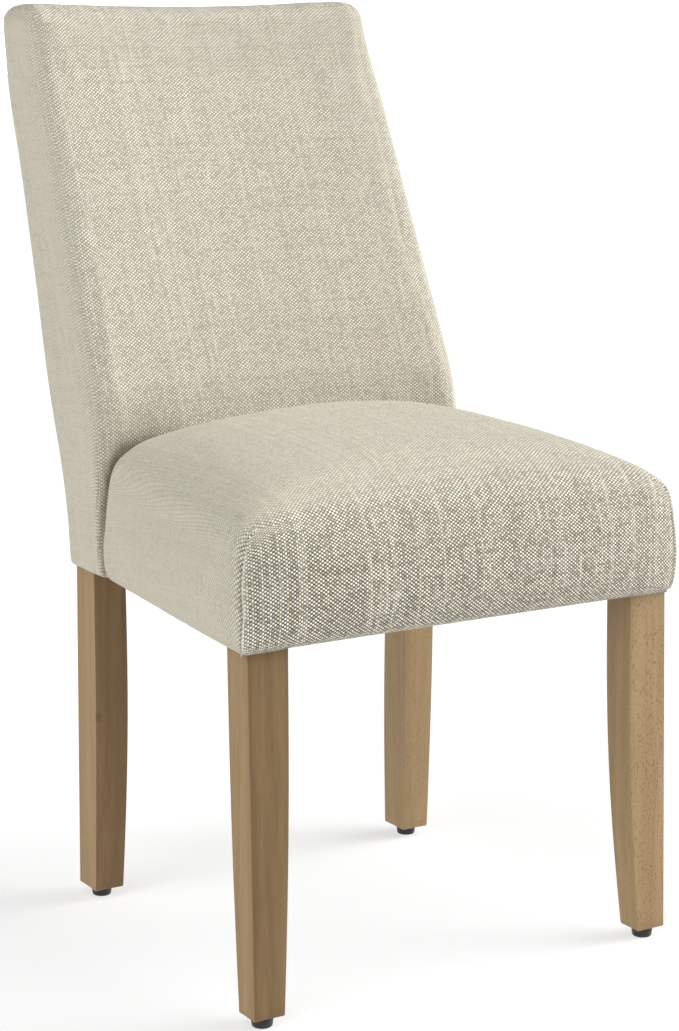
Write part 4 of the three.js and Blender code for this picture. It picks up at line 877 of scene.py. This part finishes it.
def build_seat():
    side = SEAT_SIDE_ROLL / SEAT_FRONT_WIDTH
    across = roll_stations(side, side, *SEAT_ACROSS_CELLS)
    along = roll_stations(SEAT_FRONT_ROLL / SEAT_DEPTH, SEAT_REAR_ROLL / SEAT_DEPTH, *SEAT_ALONG_CELLS)
    near = np.array(SEAM_COLUMNS)
    fine_across = np.sort(np.concatenate([across, near / SEAT_FRONT_WIDTH, 1 - near / SEAT_FRONT_WIDTH]))
    fine_along = np.sort(np.concatenate([along, near / SEAT_DEPTH]))
    rings = [(k / SEAT_ROLL_CELLS, 0.0) for k in range(1, SEAT_ROLL_CELLS + 1)]
    rings += [(1.0, 1 - (1 - k / SEAT_WALL_CELLS) ** WALL_SPREAD) for k in range(1, SEAT_WALL_CELLS + 1)]
    rings += [("fold", *place) for place in SEAT_HEM_FOLDS]

    def point(u, v, ring):
        if ring is not None and ring[0] == "fold":
            return folded_under(seat_point(u, v, 1.0, 1.0, SEAT_START_INSET), *ring[1:])
        drop, wall = (0.0, 0.0) if ring is None else ring
        return seat_point(u, v, drop, wall, SEAT_START_INSET)

    cup = Cup(fine_across, fine_along, rings, point, level=True)
    points = cup.points
    net = Cup(across, along, rings, point)
    moved = fill_with_air("seat_filling", net, SEAT_PINNED_RINGS, SEAT_PRESSURE, SEAT_PUFF)
    points = points + carried_over(net, moved, cup, (across, along), (fine_across, fine_along))
    obj = mesh_object("seat_upholstery", points, cup.faces, cup.loops)
    normals = vertex_normals(obj.data)

    away = seam_distance(cup)
    up = points[:, 2] - CLEAR_HEIGHT
    sewn = (1 - smooth(up, *SEAM_FADE)) * smooth(up, *SEAM_END)
    # the seam's ridge: raised in the mesh, and given a painted highlight
    ridge_and_highlight = np.exp(-((away / SEAM_HALF_WIDTH) ** 2))
    past = np.maximum(np.abs(away) - VALLEY_START * SEAM_HALF_WIDTH, 0)
    valley = np.exp(-past / SEAM_REACH) * np.where(away > 0, 1, VALLEY_ON_FRONT) * (np.abs(away) > 0)
    relief = sewn * (SEAM_RIDGE * ridge_and_highlight - SEAM_VALLEY * valley)
    move_vertices(obj.data, points + normals * relief[:, None])
    add_point_values(obj, "ridge_and_highlight", sewn * ridge_and_highlight)
    # painted shade along a line in the valley beside each seam
    from_shade_line = away + VALLEY_SHADE_LINE * SEAM_HALF_WIDTH
    add_point_values(obj, "crease_shade", sewn * np.exp(-((from_shade_line / SEAM_HALF_WIDTH) ** 2)))

    level = np.where(normals[:, 2] < 0, np.maximum(np.hypot(normals[:, 0], normals[:, 1]), STEEPEST), 1)
    facing_front = np.clip(-normals[:, 1] / level, 0, 1)
    facing_up = np.clip(normals[:, 2], 0, 1)
    to_right = points[:, 0] / SEAT_FRONT_WIDTH + 0.5
    on_front = mix(*TIGHT_AND_SHADE_FRONT, to_right)
    on_top = mix(*TIGHT_AND_SHADE_TOP, np.clip(TIGHT_AND_SHADE_TOP_REACH * to_right, 0, 1))
    beside_seam = np.where(away < 0, TIGHT_BESIDE_SEAM * np.exp(away / TIGHT_SEAM_REACH), 0)
    # tightness with painted shade in the weave, set by which way each face turns
    add_point_values(obj, "tight_and_shade", facing_front**2 * on_front + facing_up**2 * on_top + beside_seam)
    make_finer(obj)
    settle_cover(obj, "seat_cover")


# ---- Back ----
BACK_ACROSS_CELLS, BACK_UP_CELLS, BACK_RING_CELLS = (7, 40, 7), (2, 58, 5), (8, 6, 4, 3)
BACK_PINNED_RINGS = 3
PANEL_ACROSS_CELLS, PANEL_UP_CELLS, PANEL_EDGES = (2, 40, 2), (2, 54, 2), (0.02, 0.015)
PANEL_RINGS = (0.7 * MM, 1.5 * MM)
# how tight the back's cloth is drawn where it faces forwards and where it faces up; this also paints shade
# into its weave
BACK_TIGHT_AND_SHADE_FRONT, BACK_TIGHT_AND_SHADE_TOP = 0.48, 0.8
# painted shade in the crevice that the back makes with the seat: how dark, how high, how far out and from
# which height
CREVICE_SHADE_STRENGTH = 1.4
CREVICE_FADE = 7 * MM
CREVICE_SIDES = (85 * MM, 165 * MM)
CREVICE_HEIGHTS = (405 * MM, 452 * MM)
CREVICE_LOW_SHARE = 0.3


def back_rings(front_cells, side_cells, rear_cells, return_cells):
    """How deep each ring lies, from the thickness, the front roll and the rear roll there, and how far in."""
    rings = []
    for k in range(1, front_cells + 1):
        rings.append((lambda t, ry, rr, s=by_angle(k / front_cells): ry * s, 0.0))
    for k in range(1, side_cells + 1):
        rings.append((lambda t, ry, rr, s=k / side_cells: mix(ry, t - rr, s), 0.0))
    for k in range(1, rear_cells + 1):
        rings.append((lambda t, ry, rr, s=by_angle(1 - k / rear_cells): t - rr * s, 0.0))
    for k in range(1, return_cells + 1):
        rings.append((lambda t, ry, rr: t, k / return_cells))
    return rings


def crevice_shade(points):
    """How deep each point of the back lies in the crevice that it forms with the seat's rear shoulders: the
    mask for the shade painted there.
    """
    along_top, down_side = np.linspace(0.5, 1, 20), np.linspace(0, 1, 40)[1:]
    top = seat_point(along_top, 1.0 + 0 * along_top, 0 * along_top, 0.0, 0.0)
    shoulder = seat_point(1.0 + 0 * down_side, 1.0 + 0 * down_side, down_side, 0.0, 0.0)
    edge = np.concatenate([top, shoulder])
    sideways = np.abs(points[:, 0] - SEAT_SHIFT)
    above = np.maximum(points[:, 2] - np.interp(sideways, edge[:, 0] - SEAT_SHIFT, edge[:, 2]), 0)
    by_height = mix(CREVICE_LOW_SHARE, 1, smooth(points[:, 2], *CREVICE_HEIGHTS))
    return np.exp(-above / CREVICE_FADE) * smooth(sideways, *CREVICE_SIDES) * by_height


def build_back():
    side = BACK_FRONT_ROLL / BACK_WIDTH
    across = roll_stations(side, side, *BACK_ACROSS_CELLS)
    upward = roll_stations(BACK_BOTTOM_ROLL / BACK_HEIGHT, BACK_TOP_ROLL / BACK_HEIGHT, *BACK_UP_CELLS)
    rings = back_rings(*BACK_RING_CELLS)

    def point(u, v, ring):
        depth, share = ring or (lambda t, ry, rr: 0.0, 0.0)
        return back_surface(u, v, depth, share * COVER_RETURN, BACK_START_INSET)

    cup = Cup(across, upward, rings, point)
    points = cup.points
    points = points + fill_with_air("back_filling", cup, BACK_PINNED_RINGS, BACK_PRESSURE, BACK_PUFF)
    obj = mesh_object("back_upholstery", points, cup.faces, cup.loops)
    normals = vertex_normals(obj.data)
    facing_front, facing_up = np.clip(-normals[:, 1], 0, 1), np.clip(normals[:, 2], 0, 1)
    # tightness with painted shade in the weave, set by which way each face turns
    add_point_values(obj, "tight_and_shade", facing_front**3 * BACK_TIGHT_AND_SHADE_FRONT + facing_up**2 * BACK_TIGHT_AND_SHADE_TOP)
    # painted shade on the back where it meets the seat, on faces turned forwards
    add_point_values(obj, "crease_shade", CREVICE_SHADE_STRENGTH * facing_front * crevice_shade(points))
    make_finer(obj)
    settle_cover(obj, "back_cover_inside")


def build_outside_back():
    side, end = PANEL_EDGES
    inward = COVER_RETURN + SEAM_GAP

    def point(u, v, ring):
        p = back_surface(u, v, lambda t, ry, rr: t, inward, 0.0)
        p[..., 1] -= ring or 0
        return p

    across, upward = roll_stations(side, side, *PANEL_ACROSS_CELLS), roll_stations(end, end, *PANEL_UP_CELLS)
    cup = Cup(across, upward, PANEL_RINGS, point, wound=False)
    obj = mesh_object("back_outside_panel", cup.points, cup.faces, cup.loops)
    settle_cover(obj, "back_cover_outside")


# ---- Legs ----
LEG_EDGE = 0.7 * MM
EDGE_PALENESS = 0.12
FOOT_BEVEL = 1.1 * MM
LEG_BELLY = 2.6 * MM
FRONT_LEG_INNER_BELLY = {"right": 1.8, "left": 0.8}
SHIN_STEPS, ARC_STEPS, FACE_STEPS = 26, 4, 4
# a seed that shifts each leg's grain, then how pale and how flecked its right, rear, left and front face are
LEG_LOOKS = {
    "leg_front_right": (1, (0.7, 0.8, 0.68, 0.86), (0.3, 0.3, 0.4, 1.0)),
    "leg_front_left": (2, (0.5, 0.5, 0.70, 0.12), (0.2, 0.2, 0.3, 0.1)),
    "leg_rear_right": (3, (0.7, 0.7, 1.0, 0.83), (0.2, 0.2, 0.4, 0.5)),
    "leg_rear_left": (4, (0.4, 0.6, 0.72, 0.03), (0.2, 0.2, 0.3, 0.2)),
}


def leg_outline(z, x0, x1, y0, y1):
    """The points of a level rectangle with rounded corners, from its right front corner to the rear."""
    r = LEG_EDGE
    corners = [(x1 - r, y0 + r, -90), (x1 - r, y1 - r, 0), (x0 + r, y1 - r, 90), (x0 + r, y0 + r, 180)]
    arcs = []
    for cx, cy, angle in corners:
        turns = [math.radians(angle + 90 * step / ARC_STEPS) for step in range(ARC_STEPS + 1)]
        arcs.append(np.array([(cx + r * math.cos(a), cy + r * math.sin(a), z) for a in turns]))
    ring = []
    for k, arc in enumerate(arcs):
        following = arcs[(k + 1) % 4]
        ring += [*arc, *(mix(arc[-1], following[0], step / FACE_STEPS) for step in range(1, FACE_STEPS))]
    return np.array(ring)


def round_the_leg(values, edge_extra=0):
    """A value for each point of a leg's outline from one for each face, with more added on the edges."""
    spread = []
    for k in range(4):
        for share in np.linspace(0, 1, ARC_STEPS + 1):
            spread.append(mix(values[k - 1], values[k], share) + edge_extra * math.sin(math.pi * share))
        spread += [values[k]] * (FACE_STEPS - 1)
    return spread


def build_leg(name, node, levels):
    """A bar lofted through level rectangles, each (z, x0, x1, y0, y1), with its foot's edge bevelled."""
    seed, paleness_by_face, flecks = LEG_LOOKS[node]
    foot, *rings = [leg_outline(*level) for level in levels]
    out = foot - foot.mean(axis=0)
    drawn_in = foot - out * (FOOT_BEVEL / np.linalg.norm(out, axis=1))[:, None]
    rings = [drawn_in, foot + (0, 0, FOOT_BEVEL), *rings]
    points = np.concatenate(rings)
    count = len(foot)
    faces = [tuple(range(count - 1, -1, -1))]
    for start in range(0, len(points) - count, count):
        for k in range(count):
            a, b = start + k, start + (k + 1) % count
            faces.append((a, b, b + count, a + count))
    faces.append(tuple(range(len(points) - count, len(points))))
    obj = mesh_object(name, points, faces)
    grain = obj.data.attributes.new("grain", "FLOAT_VECTOR", "POINT")
    grain.data.foreach_set("vector", (points + GRAIN_SHIFT * seed).astype(np.float32).ravel())
    # paleness given face by face, paler along the rounded edges
    add_point_values(obj, "face_paleness", round_the_leg(paleness_by_face, EDGE_PALENESS) * len(rings))
    add_point_values(obj, "flecks", round_the_leg(flecks) * len(rings))
    for end in (0, len(faces) - 1):
        obj.data.polygons[end].use_smooth = False
    settle_piece(obj, LEG_WOOD, node)


def shin(side, foot, top, belly_front, belly_rear, belly_inner=1):
    """The levels of a leg below the seat. Foot and top are (z, inner, outer, front, rear)."""
    levels = []
    for k in range(SHIN_STEPS + 1):
        up = k / SHIN_STEPS
        belly = LEG_BELLY * math.sin(math.pi * up)
        z, inner, outer, front, rear = (mix(a, b, up) for a, b in zip(foot, top))
        inner -= belly * belly_inner
        x0, x1 = (inner, outer) if side == "right" else (-outer, -inner)
        levels.append((z, x0, x1, front - belly * belly_front, rear + belly * belly_rear))
    return levels


def sided(side, z, x0, x1, y0, y1):
    """A level of either leg as (z, inner, outer, front, rear)."""
    return (z, x0, x1, y0, y1) if side == "right" else (z, -x1, -x0, y0, y1)


def extent(points):
    """x0, x1, y0 and y1 of points."""
    low, high = points[:, :2].min(0), points[:, :2].max(0)
    return low[0], high[0], low[1], high[1]


def build_front_leg(side):
    node = f"leg_front_{side}"
    points = positions(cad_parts[node].data)
    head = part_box(node)[1].z

    def at_height(z):
        return extent(points[np.abs(points[:, 2] - z) < 1 * MM])

    foot = sided(side, GLIDE_HEIGHT, *at_height(GLIDE_HEIGHT))
    top = sided(side, CLEAR_HEIGHT, *at_height(head))
    levels = shin(side, foot, top, 0, 1, FRONT_LEG_INNER_BELLY[side])
    build_leg(f"front_leg_{side}", node, [*levels, (head, *levels[-1][1:])])


def build_rear_leg(side):
    node = f"leg_rear_{side}"
    points = positions(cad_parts[node].data)
    levels = []
    for z in np.unique(np.round(points[:, 2], 5)):
        x0, x1, y0, y1 = extent(points[np.abs(points[:, 2] - z) < 0.01 * MM])
        if x1 - x0 > 20 * MM and y1 - y0 > 20 * MM:
            levels.append((z, x0, x1, y0, y1))
    shoulder = max(k for k, level in enumerate(levels) if level[0] < CLEAR_HEIGHT + 1 * MM)
    low_part = shin(side, sided(side, *levels[0]), sided(side, *levels[shoulder]), 1, 0)
    build_leg(f"rear_leg_{side}", node, low_part + levels[shoulder + 1:])


# ---- Glides ----
GLIDE_SIDES = 48
GLIDE_BORE, GLIDE_RECESS, GLIDE_RECESS_DEPTH = 1.8 * MM, 4.2 * MM, 3.2 * MM


def build_glide(place):
    """A button turned round an upright axis from (radius, height) pairs, with a recess for its nail."""
    low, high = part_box(f"glide_{place}")
    middle_x, middle_y, top = (low.x + high.x) / 2, (low.y + high.y) / 2, high.z
    outer = (high.x - low.x) / 2
    foot = outer - 1.0 * MM
    bore, recess, depth = GLIDE_BORE, GLIDE_RECESS, GLIDE_RECESS_DEPTH
    profile = [
        (bore, depth), (recess - 0.5 * MM, depth), (recess, depth - 0.3 * MM), (recess, 0.4 * MM),
        (recess + 0.4 * MM, 0.0), (foot - 1.6 * MM, 0.0), (foot - 0.8 * MM, 0.25 * MM),
        (foot - 0.25 * MM, 0.8 * MM), (foot, 1.6 * MM), (mix(foot, outer, 0.5), top * 0.55),
        (outer - 0.1 * MM, top - 0.7 * MM), (outer - 0.5 * MM, top - 0.15 * MM), (outer - 1.2 * MM, top),
        (bore, top),
    ]
    points, faces = [], []
    count = len(profile)
    for k in range(GLIDE_SIDES):
        a = 2 * math.pi * k / GLIDE_SIDES
        points += [(middle_x + r * math.cos(a), middle_y + r * math.sin(a), h) for r, h in profile]
        here, there = k * count, (k + 1) % GLIDE_SIDES * count
        for j in range(count):
            after = (j + 1) % count
            faces.append((here + j, there + j, there + after, here + after))
    obj = mesh_object(f"button_glide_{place}", points, faces)
    settle_piece(obj, GLIDE_BLACK, f"glide_{place}")


# ---- Soft pieces inside ----
STUFFING_INSET = 4.5 * MM
EASE = 0.5
# piece, node, voxel, rounds of smoothing, material, slot and fill
STUFFING = [
    ("seat_foam_block", "seat_foam", 5 * MM, 4, FOAM, "foam", 1.0),
    ("seat_edge_fill", "seat_edge_wadding", 4 * MM, 2, WADDING, "wadding", 0.6),
    ("back_foam_pad", "back_foam", 5 * MM, 4, FOAM, "foam", 1.0),
    ("back_edge_fill", "back_edge_wadding", 4 * MM, 2, WADDING, "wadding", 0.6),
]


def build_stuffing(name, node, voxel, rounds, material, slot, fill):
    """The CAD solid's form, remeshed, eased and drawn in a little, for a foam or wadding piece."""
    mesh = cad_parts[node].data.copy()
    mesh.name = name
    obj = linked(name, mesh)
    tuned(obj.modifiers.new("remesh", "REMESH"), mode="VOXEL", voxel_size=voxel)
    tuned(obj.modifiers.new("ease", "SMOOTH"), factor=EASE, iterations=rounds)
    bake_modifiers(obj)
    obj.data.polygons.foreach_set("use_smooth", np.ones(len(obj.data.polygons), bool))
    move_vertices(obj.data, positions(obj.data) - vertex_normals(obj.data) * STUFFING_INSET)
    settle_piece(obj, material, node)


# ---- Dust sheet ----
DUST_OVERLAP = 5 * MM
DUST_FRONT_OVERLAP = 2 * MM
DUST_REAR_OVERLAP = 9 * MM
DUST_HEIGHT = 344.1 * MM
DUST_THICKNESS = 0.4 * MM
DUST_SAG = 1.5 * MM
# how deep the puckers at the sheet's edges are, how many cells a half wave has and how many they reach in
DUST_PUCKER, DUST_PUCKER_CELLS, DUST_PUCKER_REACH = 0.15 * MM, 2.5, 2
DUST_COLUMNS, DUST_ROWS = 60, 54


def half_width_at(outline, y):
    """Half width of the outline at y, taking the outline's right-hand points as a polyline along y."""
    right = outline[outline[:, 0] > 0]
    ys = np.unique(np.round(right[:, 1], 5))
    widest = [right[np.abs(right[:, 1] - v) < 0.02 * MM][:, 0].max() for v in ys]
    return float(np.interp(y, ys, widest))


def build_dust_sheet():
    """A thin sheet pulled flat under the seat frame, over the cover's folded hem."""
    low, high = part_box("dust_sheet")
    outline = positions(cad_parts["dust_sheet"].data)[:, :2]
    columns, rows = DUST_COLUMNS, DUST_ROWS
    grid, faces, halves = [], [], []
    front, rear = low.y - DUST_FRONT_OVERLAP, high.y
    beside_legs = LEG_FRONT_BOX[3] + DUST_OVERLAP
    for j in range(rows + 1):
        y = mix(front, rear, j / rows)
        half = half_width_at(outline, y)
        if y > beside_legs:
            half += mix(DUST_OVERLAP, DUST_REAR_OVERLAP, (y - beside_legs) / (rear - beside_legs))
        halves.append(half)
        for i in range(columns + 1):
            sag = DUST_SAG * math.sin(math.pi * i / columns) * math.sin(math.pi * j / rows)
            wave_x, wave_y = (math.cos(math.pi * k / DUST_PUCKER_CELLS) for k in (i, j))
            edge = min(i, columns - i, j, rows - j)
            pucker = DUST_PUCKER * wave_x * wave_y * math.exp(-edge / DUST_PUCKER_REACH)
            grid.append((mix(-half, half, i / columns), y, DUST_HEIGHT - sag + pucker))
    for j in range(rows):
        for a in range(j * (columns + 1), j * (columns + 1) + columns):
            faces.append((a, a + columns + 1, a + columns + 2, a + 1))
    obj = mesh_object("dust_sheet_cloth", grid, faces)
    tuned(obj.modifiers.new("cloth thickness", "SOLIDIFY"), thickness=DUST_THICKNESS, offset=0)
    settle_piece(obj, DUST_CLOTH, "dust_sheet")


build_seat()
build_back()
build_outside_back()
for side in ("left", "right"):
    build_front_leg(side)
    build_rear_leg(side)
for place in ("front_left", "front_right", "rear_left", "rear_right"):
    build_glide(place)
for row in STUFFING:
    build_stuffing(*row)
build_dust_sheet()

# ---- CAD nodes that stay, with their materials ----
# the first row that starts a node's name gives its material
CAD_LOOKS = [
    (("seat_rail_left", "seat_rail_right"), BEECH_Y),
    (("seat_rail", "back_rail", "corner_block"), BEECH_X),
    (("seat_deck", "back_panel"), PLY),
    (("rear_board",), HARDBOARD),
    (("",), ZINC),
]
for name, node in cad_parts.items():
    if not node.hide_render:
        dress(node, next(material for starts, material in CAD_LOOKS if name.startswith(starts)))


# ---- Floor, light and camera ----
FLOOR_GLOW, FLOOR_REACH = 0.62, 300.0
BACKDROP_GLOW = 1.0
WORLD_STRENGTH = 0.05
# distance and height of the sheet of paper that lights the chair from behind, and of the screens on all sides
BACKDROP, SCREEN = (120.0, 16.0), (30.0, 9.0)
SIDES = {"rear": (0, 1), "left": (-1, 0), "front": (0, -1), "right": (1, 0)}
# azimuth from the chair's front to its right, elevation, strength and angle of each soft source
SUNS = {
    "right": (73, 23.5, 2.75, 40),
    "right_high": (60, 52, 1.5, 50),
    "left_high": (-62, 50, 1.12, 50),
    "left": (-84, 24, 0.7, 48),
}
CAMERA_AT, CAMERA_AIM = (-1.2548, -2.1050, 0.8926), (-0.02725, -0.0984, 0.4157)
LENS, SENSOR_WIDTH, SIGHT = 87.46, 36, 500


def studio_paper(name, scale, dark, pale, glow):
    n = Nodes(name)
    colour = n.blend(n.noise(n.coordinates(), scale, 2), (dark,) * 3, (pale,) * 3)
    return n.finish(colour, 0.9, Specular_IOR_Level=0.05, Emission_Color=(1, 1, 1, 1), Emission_Strength=glow)


def add_stage(name, corners, material):
    mesh = bpy.data.meshes.new(name)
    mesh.from_pydata(corners, [], [(0, 1, 2, 3)])
    mesh.materials.append(material)
    obj = linked(name, mesh)
    return obj


def add_backdrop(name, facing, far, high, material):
    """An upright sheet of paper, far metres away on the side that facing points to."""
    x, y = facing
    start, end = (far * (x - y), far * (y + x)), (far * (x + y), far * (y - x))
    return add_stage(name, [(*start, -1), (*end, -1), (*end, high), (*start, high)], material)


def build_stage():
    floor = studio_paper("studio_floor", 40, 0.40, 0.42, FLOOR_GLOW)
    corners = [(FLOOR_REACH * x, FLOOR_REACH * y, 0) for x, y in ((-1, -1), (1, -1), (1, 1), (-1, 1))]
    add_stage("floor", corners, floor)
    paper = studio_paper("studio_backdrop", 0.4, 0.80, 0.84, BACKDROP_GLOW)
    add_backdrop("backdrop", SIDES["rear"], *BACKDROP, paper)
    for side, facing in SIDES.items():
        screen = add_backdrop(f"backdrop_{side}", facing, *SCREEN, paper)
        tuned(screen, visible_diffuse=False, visible_glossy=False, visible_shadow=False)
    world = bpy.data.worlds.new("studio")
    bpy.context.scene.world = world
    world.use_nodes = True
    world.node_tree.nodes["Background"].inputs[0].default_value = (1, 1, 1, 1)
    world.node_tree.nodes["Background"].inputs[1].default_value = WORLD_STRENGTH


def add_sun(name, azimuth, elevation, strength, spread):
    data = tuned(bpy.data.lights.new(name, "SUN"), energy=strength, angle=math.radians(spread))
    a, e = math.radians(azimuth), math.radians(elevation)
    towards = Vector((math.sin(a) * math.cos(e), -math.cos(a) * math.cos(e), math.sin(e)))
    linked(name, data).rotation_euler = towards.to_track_quat("Z", "Y").to_euler()


def build_camera():
    data = tuned(bpy.data.cameras.new("camera"), lens=LENS, sensor_width=SENSOR_WIDTH, clip_end=SIGHT)
    camera = linked("camera", data)
    camera.location = CAMERA_AT
    camera.rotation_euler = (Vector(CAMERA_AIM) - camera.location).to_track_quat("-Z", "Y").to_euler()
    bpy.context.scene.camera = camera


build_stage()
for name, settings in SUNS.items():
    add_sun(name, *settings)
build_camera()
bpy.context.scene.view_settings.view_transform = "Standard"
